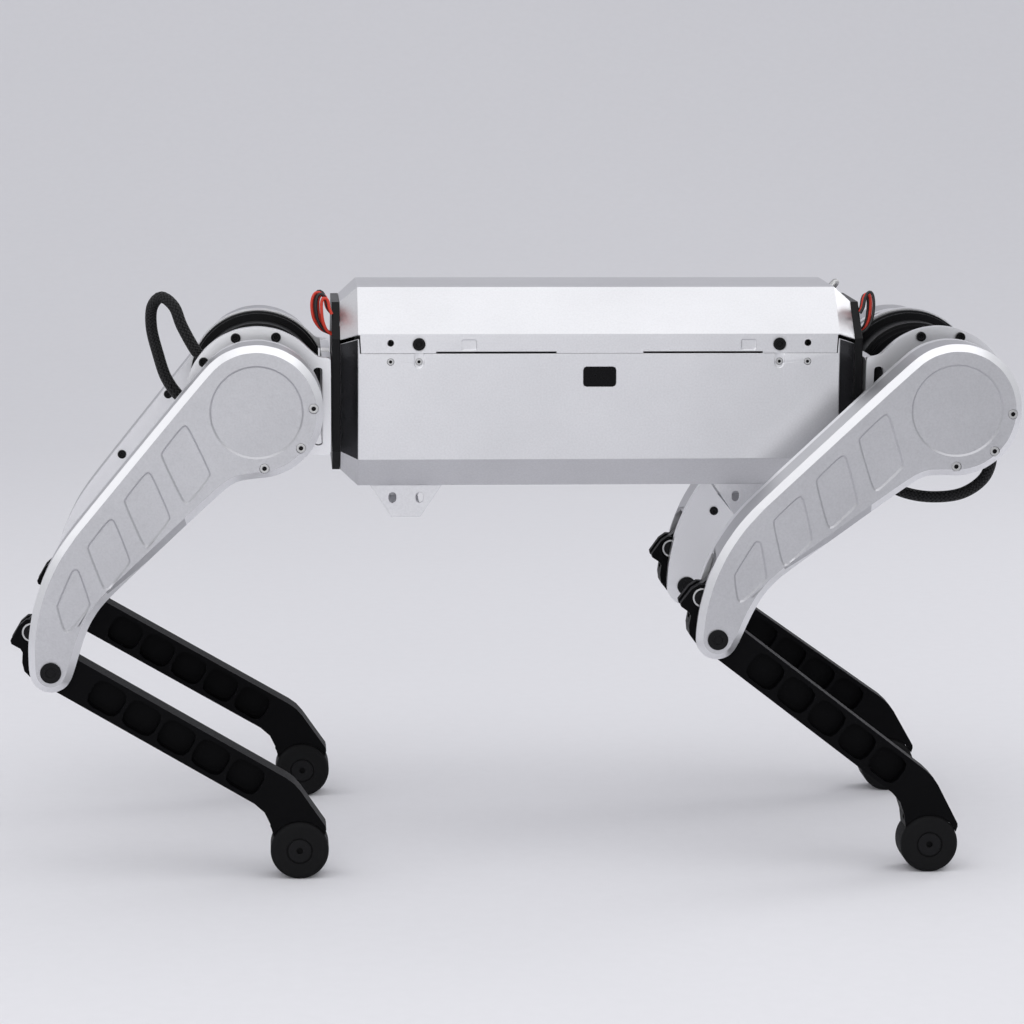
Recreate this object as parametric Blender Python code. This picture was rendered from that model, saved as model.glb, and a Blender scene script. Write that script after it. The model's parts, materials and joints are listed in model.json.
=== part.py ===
"""Quadruped robot dog standing on its four feet.

Metres, +X forward, +Y to the robot's left, +Z up. The origin is on the floor under the middle of the robot.
The pieces of a leg are modelled once, for the front right corner, and copied and mirrored to the others.
"""

import math

import bmesh
import bpy
from mathutils import Matrix, Vector

MM = 0.001

# Clearances
FIT_GAP = 0.3 * MM
BORE_GAP = 0.5 * MM
RUN_GAP = 1.7 * MM

# Case of the torso
CASE_LENGTH = 530 * MM
CASE_WIDTH = 200 * MM
DECK_WIDTH = 110 * MM
LID_SLOPE_RISE = 44 * MM
LID_LIP = 20 * MM
SIDE_HEIGHT = 109 * MM
BELLY_CHAMFER = 31 * MM
SHEET = 2.5 * MM
TAPER_LENGTH = 18 * MM
TAPER_INSET = 16 * MM
SEAM_STEP = 15 * MM
SEAM_STEP_GAP = 4 * MM
SEAM_STEP_RUN = 1 * MM
SEAM_RELIEF_HEIGHT = 1.8 * MM
SEAM_RELIEF_LENGTH = 123 * MM
SEAM_RELIEF_CENTRE = 106 * MM
HIP_ABOVE_BELLY = 94 * MM
BULKHEAD = 8 * MM

# Pieces in and on the case
BATTERY_HEIGHT = 60 * MM
BATTERY_END_ROOM = 20 * MM
BATTERY_SIDE_ROOM = 9 * MM
CONTROLLER_LENGTH = 150 * MM
CONTROLLER_HEIGHT = 35 * MM
CONTROLLER_SIDE_ROOM = 12 * MM
BOX_EDGE = 4 * MM
WINDOW_WIDTH = 33 * MM
WINDOW_HEIGHT = 20 * MM
WINDOW_BELOW_SEAM = 24 * MM
WINDOW_CORNER = 3 * MM
WINDOW_RECESS = 0.6 * MM
SKID_TOP = 74 * MM
SKID_BOTTOM = 30 * MM
SKID_HEIGHT = 33 * MM
SKID_SHEET = 3 * MM
SKID_EDGE_ROOM = 3 * MM
SKID_HOLE_WIDTH = 8 * MM
SKID_HOLE_HEIGHT = 11 * MM
SKID_HOLE_CORNER = 3.6 * MM
SKID_HOLE_SPACING = 28 * MM
SKID_HOLE_BELOW_BELLY = 13 * MM
REAR_SKID_FROM_END = 68 * MM
FRONT_SKID_FROM_END = 105 * MM
ANTENNA_RADIUS = 4.5 * MM
ANTENNA_HEIGHT = 11 * MM
ANTENNA_Y = 25 * MM

# Motors
ABDUCTION_MOTOR_RADIUS = 36 * MM
ABDUCTION_MOTOR_LENGTH = 45 * MM
ABDUCTION_MOTOR_SIDE_ROOM = 3.5 * MM
NECK_RADIUS = 18 * MM
NECK_REACH = 1.2 * MM
HIP_MOTOR_RADIUS = 63 * MM
HIP_MOTOR_LENGTH = 57 * MM
HIP_MOTOR_CAP_STEP = 7 * MM
HIP_HUB_RADIUS = 28 * MM
KNEE_MOTOR_RADIUS = 57 * MM
KNEE_MOTOR_LENGTH = 48 * MM
MOTOR_EDGE = 2.5 * MM

# Hip yoke
FLANGE_OFFSET = 32 * MM
FLANGE = 10 * MM
FLANGE_RADIUS = 74 * MM
YOKE_PLATE = 9 * MM
YOKE_MOTOR_ROOM = 3 * MM
YOKE_TOP = 42 * MM
YOKE_BOTTOM = 58 * MM
YOKE_INNER_REACH = 36 * MM
YOKE_FILLET = 12 * MM
YOKE_CORNER = 4 * MM
YOKE_WINDOW_WIDTH = 10 * MM
YOKE_WINDOW_WALL = 8 * MM
YOKE_WINDOW_MARGIN = 10 * MM

# Thigh
THIGH_LENGTH = 332 * MM
THIGH_WIDTH = 60 * MM
BOSS_RADIUS = 67 * MM
BACK_EDGE = 71 * MM
BACK_ARC_RADIUS = 198 * MM
KNEE_RADIUS = 22 * MM
FRONT_ARC_RADIUS = 105 * MM
FRONT_ARC_FROM_KNEE = 82 * MM
FRONT_ARC_EDGE = 1 * MM
BOSS_FILLET_RADIUS = 40 * MM
BOSS_FILLET_EDGE = -22 * MM
THIGH_WALL = 4 * MM
THIGH_FLOOR = 5 * MM
THIGH_EDGE = 7 * MM
COVER_DEPTH = 12 * MM
CHEEK = 12 * MM
FORK_ROOM = 2 * MM
FORK_RADIUS = 58 * MM
FORK_MOUTH_RADIUS = 38 * MM
CAVITY_END_RADIUS = 22 * MM
CAVITY_END_FROM_KNEE = 64 * MM
FACE_DISC_RADIUS = 47 * MM
RECESS = 1.6 * MM
POCKET_COUNT = 4
POCKET_FIRST = 49 * MM
POCKET_PITCH = 59 * MM
POCKET_LENGTH = 43 * MM
POCKET_SLANT = 27 * MM
POCKET_BACK = 50 * MM
POCKET_FRONT = -4 * MM
POCKET_FRONT_RISE = 4.5 * MM
POCKET_CORNER = 5 * MM
LAST_POCKET_TAPER = 13 * MM

# Knee drive
LEVER_RADIUS = 43 * MM
LEVER_ANGLE = math.radians(154)
KNEE_PIN_RADIUS = 8 * MM
KNEE_PIN_HEAD_RADIUS = 10.5 * MM
KNEE_PIN_HEAD = 2 * MM
LEVER_PIN_RADIUS = 5 * MM
BEARING_RADIUS = 10 * MM
BEARING_DEPTH = 4 * MM
ROD_THICKNESS = 12 * MM
ROD_EYE_RADIUS = 12 * MM
ROD_HALF_WIDTH = 8 * MM
ROD_FILLET = 15 * MM
CRANK_HUB_RADIUS = 18 * MM
CRANK_HUB_ROOM = 2 * MM
CRANK_EYE_RADIUS = 11 * MM
CRANK_ARM = 9 * MM

# Shin
SHIN_LENGTH = 310 * MM
SHIN_TILT = math.radians(6.6)
SHIN_BELOW = 17 * MM
SHIN_ABOVE = 22 * MM
HEEL_REACH = 14 * MM
KNEE_HOLLOW_REACH = 15 * MM
KNEE_HOLLOW_RADIUS = 60 * MM
LEVER_HEAD_RADIUS = 14 * MM
HORN_REACH = 48 * MM
HORN_TIP_RADIUS = 2.5 * MM
NOTCH_RADIUS = 4 * MM
NOTCH_REACH = 37 * MM
NOTCH_DROP = 5 * MM
ANKLE_HOLLOW_RADIUS = 35 * MM
ANKLE_HOLLOW_AT = 244 * MM
ANKLE_TOP_RADIUS = 46 * MM
ANKLE_TOP_AT = 258 * MM
ANKLE_RADIUS = 22 * MM
TOE_PAST_CENTRE = 5 * MM
TOE_RADIUS = 4 * MM
LEVER_SLOT_RADIUS = 26 * MM
SHIN_WEB = 6 * MM
SHIN_FLANGE = 4.5 * MM
SHIN_POCKET_COUNT = 5
SHIN_POCKET_FIRST = 44 * MM
SHIN_POCKET_LAST = 244 * MM
SHIN_RIB = 4 * MM
SHIN_POCKET_CORNER = 9 * MM

# Foot
FOOT_RADIUS = 29.5 * MM
FOOT_WIDTH = 40 * MM
FOOT_EDGE = 5 * MM
FOOT_FACETS = 20
TONGUE_WIDTH = 20 * MM
TONGUE_RADIUS = 17 * MM

# Stance: how far each foot stands ahead of its hip, and the height of the hips over the feet's centres
STANCE_HEIGHT = 448 * MM
FOOT_AHEAD = {"rr": 41 * MM, "fr": -16 * MM, "rl": 46 * MM, "fl": 2 * MM}

# Braided cables
CABLE_DIAMETER = 12 * MM
CABLE_POINT_STEP = 2.2
CABLE_RESOLUTION = 2

# Outlines and round pieces
ARC_SAG = 0.85 * MM
FACETS = 20
SMALL_FACETS = 10

# Heights over the hip axes, and places across the robot
BELLY_Z = -HIP_ABOVE_BELLY
SIDE_Z = BELLY_Z + BELLY_CHAMFER
SEAM_Z = SIDE_Z + SIDE_HEIGHT
REAR_SKID_X = REAR_SKID_FROM_END - CASE_LENGTH / 2
FRONT_SKID_X = CASE_LENGTH / 2 - FRONT_SKID_FROM_END
FOLD_Z = SEAM_Z + LID_LIP
DECK_Z = FOLD_Z + LID_SLOPE_RISE
HIP_Y = CASE_WIDTH / 2 - SHEET - ABDUCTION_MOTOR_SIDE_ROOM - ABDUCTION_MOTOR_RADIUS
YOKE_REACH = HIP_MOTOR_RADIUS + YOKE_MOTOR_ROOM + YOKE_PLATE
HIP_X = CASE_LENGTH / 2 + FIT_GAP + BULKHEAD + NECK_REACH + FIT_GAP + YOKE_REACH

# Places outwards from the abduction axis
KNEE_MOTOR_START = FLANGE_OFFSET + FLANGE + RUN_GAP
THIGH_INNER = KNEE_MOTOR_START + KNEE_MOTOR_LENGTH + FIT_GAP
THIGH_OUTER = THIGH_INNER + THIGH_WIDTH
PARTING = THIGH_INNER + COVER_DEPTH
LEG_MIDDLE = (PARTING + THIGH_OUTER - CHEEK) / 2
SHIN_WIDTH = THIGH_OUTER - CHEEK - PARTING - 2 * FORK_ROOM
LEVER_PIN = (LEVER_RADIUS * math.cos(LEVER_ANGLE), LEVER_RADIUS * math.sin(LEVER_ANGLE))


def clear_scene():
    for obj in list(bpy.data.objects):
        bpy.data.objects.remove(obj, do_unlink=True)


def make_material(name, colour, roughness, metallic):
    material = bpy.data.materials.new(name)
    material.use_nodes = True
    shader = material.node_tree.nodes["Principled BSDF"]
    shader.inputs["Base Color"].default_value = (*colour, 1.0)
    shader.inputs["Roughness"].default_value = roughness
    shader.inputs["Metallic"].default_value = metallic
    return material


# Outlines


def belt(circles, inset=0.0):
    """A closed outline of arcs joined by tangent lines.

    Each circle is (x, y, radius, turn): turn is 1 where the outline bulges and -1 where it is hollow,
    going round with the inside on the left. A positive inset moves the whole outline inwards.
    """
    headings = []
    for first, second in zip(circles, circles[1:] + circles[:1]):
        across = second[0] - first[0], second[1] - first[1]
        change = second[2] * second[3] - first[2] * first[3]
        slope = max(-1.0, min(1.0, change / math.hypot(*across)))
        headings.append(math.atan2(across[1], across[0]) - math.asin(slope))
    points = []
    for i, (x, y, radius, turn) in enumerate(circles):
        sweep = (headings[i] - headings[i - 1]) * turn % (2 * math.pi)
        step_turn = 2 * math.acos(max(0.0, 1.0 - ARC_SAG / radius))
        steps = max(1, math.ceil(sweep / step_turn - 1e-6))
        reach = radius * turn - inset
        for step in range(steps + 1):
            heading = headings[i - 1] + turn * sweep * step / steps
            points.append((x + reach * math.sin(heading), y - reach * math.cos(heading)))
    return points


def offset(points, distance, closed=False):
    """The corners of a bent line moved to its left by a distance."""
    moved = []
    last = len(points) - 1
    for i, point in enumerate(points):
        before = points[i - 1] if i or closed else None
        after = points[(i + 1) % len(points)] if i < last or closed else None
        normals = []
        for start, end in ((before, point), (point, after)):
            if start and end:
                along = Vector((end[0] - start[0], end[1] - start[1])).normalized()
                normals.append(Vector((-along.y, along.x)))
        normal = sum(normals, Vector((0, 0)))
        scale = distance * len(normals) / normal.length_squared
        moved.append((point[0] + normal.x * scale, point[1] + normal.y * scale))
    return moved


def rounded(corners, radius):
    """A polygon, its corners listed with the inside on the left, with round corners."""
    return belt([(x, y, radius, 1) for x, y in offset(corners, radius, closed=True)])


def circle(x, y, radius, facets=FACETS):
    turns = [2 * math.pi * i / facets for i in range(facets)]
    return [(x + radius * math.cos(turn), y + radius * math.sin(turn)) for turn in turns]


def rectangle(x, y, width, height):
    left, right = x - width / 2, x + width / 2
    low, high = y - height / 2, y + height / 2
    return [(left, low), (right, low), (right, high), (left, high)]


# Axes of the pieces


def in_thigh(along, back, out):
    """From hip to knee, towards the thigh's back, and outwards from the abduction axis."""
    return Vector((-back, -out, -along))


def in_shin(along, up, out):
    """From knee to foot, towards the shin's upper side, and outwards."""
    return Vector((up, -out, -along))


def in_yoke(inwards, up, out):
    """Towards the case, up, and outwards."""
    return Vector((-inwards, -out, up))


def in_case(y, z, x):
    """A cross-section of the case, carried along it."""
    return Vector((x, y, z))


# Solids


def finished(shape):
    bmesh.ops.remove_doubles(shape, verts=shape.verts, dist=1e-7)
    bmesh.ops.recalc_face_normals(shape, faces=shape.faces)
    mesh = bpy.data.meshes.new("solid")
    shape.to_mesh(mesh)
    shape.free()
    return mesh


def loft(rings):
    """A solid skinned over closed rings of as many points each, with flat ends."""
    shape = bmesh.new()
    loops = [[shape.verts.new(point) for point in ring] for ring in rings]
    for first, second in zip(loops, loops[1:]):
        for i in range(len(first)):
            shape.faces.new((first[i - 1], first[i], second[i], second[i - 1]))
    shape.faces.new(loops[0])
    shape.faces.new(loops[-1])
    return finished(shape)


def prism(outline, low, high, axes):
    return loft([[axes(x, y, level) for x, y in outline] for level in (low, high)])


def turned(profile, axes, centre=(0.0, 0.0), facets=FACETS):
    """A round solid: the profile lists (level, radius) from one flat end to the other."""
    rings = []
    for level, radius in profile:
        rings.append([axes(x, y, level) for x, y in circle(*centre, radius, facets)])
    return loft(rings)


def merged(meshes):
    """Several solids that stand apart, in one mesh."""
    shape = bmesh.new()
    for mesh in meshes:
        shape.from_mesh(mesh)
    return finished(shape)


def boolean(solid, tool, operation):
    pair = [bpy.data.objects.new("work", mesh) for mesh in (solid, tool)]
    for obj in pair:
        bpy.context.scene.collection.objects.link(obj)
    modifier = pair[0].modifiers.new("Boolean", "BOOLEAN")
    modifier.operation = operation
    modifier.object = pair[1]
    graph = bpy.context.evaluated_depsgraph_get()
    result = bpy.data.meshes.new_from_object(pair[0].evaluated_get(graph))
    for obj in pair:
        bpy.data.objects.remove(obj, do_unlink=True)
    return result


def cut(solid, *tools):
    for tool in tools:
        solid = boolean(solid, tool, "DIFFERENCE")
    return solid


def join(solid, *others):
    for other in others:
        solid = boolean(solid, other, "UNION")
    return solid


def softened_box(size, centre, edge):
    shape = bmesh.new()
    bmesh.ops.create_cube(shape, size=1.0)
    bmesh.ops.scale(shape, vec=size, verts=shape.verts)
    bmesh.ops.bevel(shape, geom=shape.edges[:], offset=edge, segments=1, profile=0.5, affect="EDGES")
    bmesh.ops.translate(shape, vec=centre, verts=shape.verts)
    return finished(shape)


# Scene


def pivot(name, place, parent=None, pitch=0.0):
    """An empty on a joint's axis, turned about Y."""
    empty = bpy.data.objects.new(name, None)
    empty.empty_display_size = 0.05
    empty.parent = parent
    empty.location = place
    empty.rotation_euler = (0.0, pitch, 0.0)
    bpy.context.scene.collection.objects.link(empty)
    return empty


def add(name, mesh, material, parent, flip_x=False, flip_y=False):
    """A node: a copy of the mesh, mirrored where its corner of the robot asks for it."""
    own = mesh.copy()
    own.name = name
    if flip_x or flip_y:
        own.transform(Matrix.Diagonal((-1 if flip_x else 1, -1 if flip_y else 1, 1, 1)))
        if flip_x != flip_y:
            own.flip_normals()
    own.shade_smooth()
    own.set_sharp_from_angle(angle=math.radians(30))
    own.materials.clear()
    own.materials.append(material)
    obj = bpy.data.objects.new(name, own)
    obj.parent = parent
    bpy.context.scene.collection.objects.link(obj)
    return obj


# Torso


def case_stations(low_seam, high_seam, step_from_end):
    """(x, inset, seam height) along the case, with the stepped seam and the tapered ends."""
    end = CASE_LENGTH / 2
    fold_turn = math.atan2((CASE_WIDTH - DECK_WIDTH) / 2, LID_SLOPE_RISE)
    half = [
        (end, TAPER_INSET, high_seam - TAPER_INSET * math.tan(fold_turn / 2)),
        (end - TAPER_LENGTH, 0.0, high_seam),
        (end - step_from_end, 0.0, high_seam),
        (end - step_from_end - SEAM_STEP_RUN, 0.0, low_seam),
    ]
    return [(-x, inset, seam) for x, inset, seam in half] + half[::-1]


def bent_sheet(outline_at, stations):
    """A sheet bent along the case: the outline's left side is the inside of the sheet."""
    rings = []
    for x, inset, seam in stations:
        outer = outline_at(inset, seam)
        inner = offset(outer, SHEET)
        inner[0] = (inner[0][0], outer[0][1])
        inner[-1] = (inner[-1][0], outer[-1][1])
        rings.append([in_case(y, z, x) for y, z in outer + inner[::-1]])
    return loft(rings)


def tub_outline(inset, seam):
    half = CASE_WIDTH / 2
    full = [
        (-half, SEAM_Z),
        (-half, SIDE_Z),
        (BELLY_CHAMFER - half, BELLY_Z),
        (half - BELLY_CHAMFER, BELLY_Z),
        (half, SIDE_Z),
        (half, SEAM_Z),
    ]
    points = offset(full, inset)
    points[0] = (points[0][0], seam)
    points[-1] = (points[-1][0], seam)
    return points


def lid_outline(inset, seam):
    half = CASE_WIDTH / 2
    full = [
        (half, SEAM_Z),
        (half, FOLD_Z),
        (DECK_WIDTH / 2, DECK_Z),
        (-DECK_WIDTH / 2, DECK_Z),
        (-half, FOLD_Z),
        (-half, SEAM_Z),
    ]
    points = offset(full, inset)
    points[0] = (points[0][0], seam)
    points[-1] = (points[-1][0], seam)
    return points


def window_outline(room):
    middle = SEAM_Z - WINDOW_BELOW_SEAM
    corners = rectangle(0.0, middle, WINDOW_WIDTH + 2 * room, WINDOW_HEIGHT + 2 * room)
    return rounded(corners, WINDOW_CORNER + room)


def beside_case(x, z, y):
    return Vector((x, y, z))


def torso_tub():
    step = TAPER_LENGTH + SEAM_STEP_RUN
    sheet = bent_sheet(tub_outline, case_stations(SEAM_Z, SEAM_Z + SEAM_STEP, step))
    wall = -CASE_WIDTH / 2
    return cut(sheet, prism(window_outline(FIT_GAP), wall - SHEET, wall + 2 * SHEET, beside_case))


def torso_lid():
    low = SEAM_Z + FIT_GAP
    step = TAPER_LENGTH + 2 * SEAM_STEP_RUN
    sheet = bent_sheet(lid_outline, case_stations(low, SEAM_Z + SEAM_STEP + SEAM_STEP_GAP, step))
    reliefs = []
    for side in (-1, 1):
        outline = rectangle(side * SEAM_RELIEF_CENTRE, low, SEAM_RELIEF_LENGTH, 2 * SEAM_RELIEF_HEIGHT)
        reliefs.append(prism(outline, -CASE_WIDTH, CASE_WIDTH, beside_case))
    return cut(sheet, merged(reliefs))


def bulkhead(end):
    """The end plate, bored for the two abduction motors' necks."""
    lower = tub_outline(TAPER_INSET, SEAM_Z)
    upper = lid_outline(TAPER_INSET, SEAM_Z)
    outline = lower[:-1] + upper[:-1]
    inner = CASE_LENGTH / 2 + FIT_GAP
    plate = prism(outline, end * inner, end * (inner + BULKHEAD), in_case)
    bores = []
    for side in (-1, 1):
        bore = circle(side * HIP_Y, 0.0, NECK_RADIUS + BORE_GAP)
        bores.append(prism(bore, end * (inner - BULKHEAD), end * (inner + 2 * BULKHEAD), in_case))
    return cut(plate, merged(bores))


def abduction_motor(end, side):
    face = CASE_LENGTH / 2 - TAPER_LENGTH - FIT_GAP
    tip = CASE_LENGTH / 2 + FIT_GAP + BULKHEAD + NECK_REACH
    profile = [
        (face - ABDUCTION_MOTOR_LENGTH, ABDUCTION_MOTOR_RADIUS),
        (face, ABDUCTION_MOTOR_RADIUS),
        (face, NECK_RADIUS),
        (tip, NECK_RADIUS),
    ]
    ends = [(end * level, radius) for level, radius in profile]
    return turned(ends, in_case, (side * HIP_Y, 0.0))


def battery_pack():
    motor_back = CASE_LENGTH / 2 - TAPER_LENGTH - FIT_GAP - ABDUCTION_MOTOR_LENGTH
    length = 2 * (motor_back - BATTERY_END_ROOM)
    width = CASE_WIDTH - 2 * BELLY_CHAMFER - 2 * BATTERY_SIDE_ROOM
    middle = BELLY_Z + SHEET + FIT_GAP + BATTERY_HEIGHT / 2
    return softened_box((length, width, BATTERY_HEIGHT), (0.0, 0.0, middle), BOX_EDGE)


def controller_box():
    width = CASE_WIDTH - 2 * BELLY_CHAMFER - 2 * CONTROLLER_SIDE_ROOM
    base = BELLY_Z + SHEET + FIT_GAP + BATTERY_HEIGHT + FIT_GAP
    middle = base + CONTROLLER_HEIGHT / 2
    return softened_box((CONTROLLER_LENGTH, width, CONTROLLER_HEIGHT), (0.0, 0.0, middle), BOX_EDGE)


def side_window():
    face = -CASE_WIDTH / 2 + WINDOW_RECESS
    return prism(window_outline(0.0), face, face + SHEET, beside_case)


def skid(x):
    """A channel bent from sheet that hangs under the belly, with oval holes in its two webs."""
    half = CASE_WIDTH / 2 - BELLY_CHAMFER - SKID_EDGE_ROOM
    top = BELLY_Z - FIT_GAP
    foot = top - SKID_HEIGHT
    web = [
        (x - SKID_BOTTOM / 2, foot),
        (x + SKID_BOTTOM / 2, foot),
        (x + SKID_TOP / 2, top),
        (x - SKID_TOP / 2, top),
    ]
    block = prism(web, -half, half, beside_case)
    hollow = rectangle(x, (top + foot) / 2 + SKID_SHEET, 2 * SKID_TOP, SKID_HEIGHT)
    hollow[2] = (hollow[2][0], top + SKID_SHEET)
    hollow[3] = (hollow[3][0], top + SKID_SHEET)
    tools = [prism(hollow, SKID_SHEET - half, half - SKID_SHEET, beside_case)]
    for side in (-1, 1):
        centre = x + side * SKID_HOLE_SPACING / 2, top - SKID_HOLE_BELOW_BELLY
        oval = rounded(rectangle(*centre, SKID_HOLE_WIDTH, SKID_HOLE_HEIGHT), SKID_HOLE_CORNER)
        tools.append(prism(oval, -2 * half, 2 * half, beside_case))
    return cut(block, *tools)


def antenna():
    """A short round stub that stands square on the sloped end of the lid."""
    slope = Vector((TAPER_LENGTH, 0.0, -TAPER_INSET)).normalized()
    normal = Vector((TAPER_INSET, 0.0, TAPER_LENGTH)).normalized()
    middle = Vector((CASE_LENGTH / 2 - TAPER_LENGTH / 2, ANTENNA_Y, DECK_Z - TAPER_INSET / 2))

    def on_slope(x, y, level):
        return middle + slope * x + Vector((0.0, y, 0.0)) + normal * level

    crown = [math.radians(angle) for angle in (0, 30, 60, 80)]
    straight = ANTENNA_HEIGHT - ANTENNA_RADIUS
    profile = [(FIT_GAP, ANTENNA_RADIUS)]
    for angle in crown:
        profile.append((straight + ANTENNA_RADIUS * math.sin(angle), ANTENNA_RADIUS * math.cos(angle)))
    return turned(profile, on_slope, facets=SMALL_FACETS)


# Hip


def fillet_between(radius, fillet, edge):
    """How far along an edge a hollow fillet lies that also touches a circle round the origin."""
    return math.sqrt((radius + fillet) ** 2 - (abs(edge) + fillet) ** 2)


def hip_yoke():
    """A ring flange that runs by hollow fillets into the plate that the abduction motor turns."""
    corner = YOKE_CORNER
    lower_fillet = fillet_between(FLANGE_RADIUS, YOKE_FILLET, YOKE_BOTTOM)
    upper_fillet = fillet_between(FLANGE_RADIUS, YOKE_FILLET, YOKE_TOP)
    circles = [
        (0.0, 0.0, FLANGE_RADIUS, 1),
        (lower_fillet, -YOKE_BOTTOM - YOKE_FILLET, YOKE_FILLET, -1),
        (YOKE_REACH - corner, corner - YOKE_BOTTOM, corner, 1),
        (YOKE_REACH - corner, YOKE_TOP - corner, corner, 1),
        (upper_fillet, YOKE_TOP + YOKE_FILLET, YOKE_FILLET, -1),
    ]
    outer = FLANGE_OFFSET + FLANGE
    flange = prism(belt(circles), FLANGE_OFFSET, outer, in_yoke)
    bore = prism(circle(0.0, 0.0, HIP_HUB_RADIUS + BORE_GAP), -outer, 2 * outer, in_yoke)
    high, low = YOKE_TOP - YOKE_WINDOW_MARGIN, YOKE_WINDOW_MARGIN - YOKE_BOTTOM
    middle = YOKE_REACH - YOKE_WINDOW_WALL - YOKE_WINDOW_WIDTH / 2
    slot = rounded(rectangle(middle, (high + low) / 2, YOKE_WINDOW_WIDTH, high - low), YOKE_CORNER)
    flange = cut(flange, bore, prism(slot, FLANGE_OFFSET - FLANGE, outer + FLANGE, in_yoke))
    plate = rounded(
        rectangle(
            (FLANGE_OFFSET + FLANGE / 2 - YOKE_INNER_REACH) / 2,
            (YOKE_TOP - YOKE_BOTTOM) / 2,
            FLANGE_OFFSET + FLANGE / 2 + YOKE_INNER_REACH,
            YOKE_TOP + YOKE_BOTTOM - YOKE_CORNER,
        ),
        YOKE_CORNER,
    )
    plate = prism(plate, YOKE_REACH - YOKE_PLATE, YOKE_REACH, lambda out, z, x: in_yoke(x, z, out))
    return join(flange, plate)


def hip_motor():
    end = FLANGE_OFFSET - FIT_GAP
    start = end - HIP_MOTOR_LENGTH
    body = HIP_MOTOR_RADIUS
    cap = body - HIP_MOTOR_CAP_STEP
    profile = [
        (start, cap),
        (start + HIP_MOTOR_CAP_STEP, cap),
        (start + HIP_MOTOR_CAP_STEP, body),
        (end, body),
        (end, HIP_HUB_RADIUS),
        (KNEE_MOTOR_START - FIT_GAP, HIP_HUB_RADIUS),
    ]
    return turned(profile, in_yoke)


def knee_motor():
    end = KNEE_MOTOR_START + KNEE_MOTOR_LENGTH
    profile = [
        (KNEE_MOTOR_START, KNEE_MOTOR_RADIUS - MOTOR_EDGE),
        (KNEE_MOTOR_START + MOTOR_EDGE, KNEE_MOTOR_RADIUS),
        (end - 2 * MOTOR_EDGE, KNEE_MOTOR_RADIUS),
        (end - 2 * MOTOR_EDGE, KNEE_MOTOR_RADIUS + MOTOR_EDGE),
        (end, KNEE_MOTOR_RADIUS + MOTOR_EDGE),
    ]
    return turned(profile, in_thigh)


# Thigh


def thigh_circles():
    """Boss, boss fillet, front hollow, knee and back arc, going round the thigh."""
    fillet_at = fillet_between(BOSS_RADIUS, BOSS_FILLET_RADIUS, BOSS_FILLET_EDGE)
    arc_centre = BACK_EDGE - BACK_ARC_RADIUS
    arc_at = THIGH_LENGTH - math.sqrt((BACK_ARC_RADIUS - KNEE_RADIUS) ** 2 - arc_centre**2)
    return [
        (0.0, 0.0, BOSS_RADIUS, 1),
        (fillet_at, BOSS_FILLET_EDGE - BOSS_FILLET_RADIUS, BOSS_FILLET_RADIUS, -1),
        (THIGH_LENGTH - FRONT_ARC_FROM_KNEE, FRONT_ARC_EDGE - FRONT_ARC_RADIUS, FRONT_ARC_RADIUS, -1),
        (THIGH_LENGTH, 0.0, KNEE_RADIUS, 1),
        (arc_at, arc_centre, BACK_ARC_RADIUS, 1),
    ]


def thigh_cavity():
    """The hollow that the crank and the push rod move in, which stops short of the knee."""
    circles = thigh_circles()
    end_at, end_radius = THIGH_LENGTH - CAVITY_END_FROM_KNEE, CAVITY_END_RADIUS + THIGH_WALL
    arc_at, arc_centre, arc_radius, _ = circles[4]
    end_back = arc_centre + math.sqrt((arc_radius - end_radius) ** 2 - (end_at - arc_at) ** 2)
    return belt([*circles[:2], (end_at, end_back, end_radius, 1), circles[4]], THIGH_WALL)


def pocket(index):
    """A slanted recess of the outer face; the last one narrows towards the knee."""
    first = POCKET_FIRST + index * POCKET_PITCH
    front = POCKET_FRONT + index * POCKET_FRONT_RISE
    last = index == POCKET_COUNT - 1
    taper = LAST_POCKET_TAPER if last else 0.0
    corners = [
        (first, POCKET_BACK),
        (first + POCKET_SLANT, front),
        (first + POCKET_SLANT + POCKET_LENGTH, front),
        (first + POCKET_LENGTH + taper / 2, POCKET_BACK - taper),
    ]
    return rounded(corners, POCKET_CORNER)


def thigh_outer_shell():
    circles = thigh_circles()
    levels = [(0.0, PARTING + FIT_GAP), (0.0, THIGH_OUTER - THIGH_EDGE), (THIGH_EDGE, THIGH_OUTER)]
    shell = loft([[in_thigh(u, v, out) for u, v in belt(circles, inset)] for inset, out in levels])
    fork = belt(
        [
            (THIGH_LENGTH, 0.0, FORK_RADIUS, 1),
            (THIGH_LENGTH - KNEE_RADIUS, LEVER_RADIUS, FORK_MOUTH_RADIUS, 1),
        ]
    )
    start = PARTING - COVER_DEPTH
    recesses = []
    for index in range(POCKET_COUNT):
        recesses.append(prism(pocket(index), THIGH_OUTER - RECESS, THIGH_OUTER + CHEEK, in_thigh))
    disc = circle(0.0, 0.0, FACE_DISC_RADIUS)
    recesses.append(prism(disc, THIGH_OUTER - RECESS, THIGH_OUTER + CHEEK, in_thigh))
    pin = circle(THIGH_LENGTH, 0.0, KNEE_PIN_RADIUS + BORE_GAP, SMALL_FACETS)
    return cut(
        shell,
        prism(thigh_cavity(), start, THIGH_OUTER - THIGH_FLOOR, in_thigh),
        prism(fork, start, THIGH_OUTER - CHEEK, in_thigh),
        merged(recesses),
        prism(pin, start, THIGH_OUTER + CHEEK, in_thigh),
    )


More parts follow.
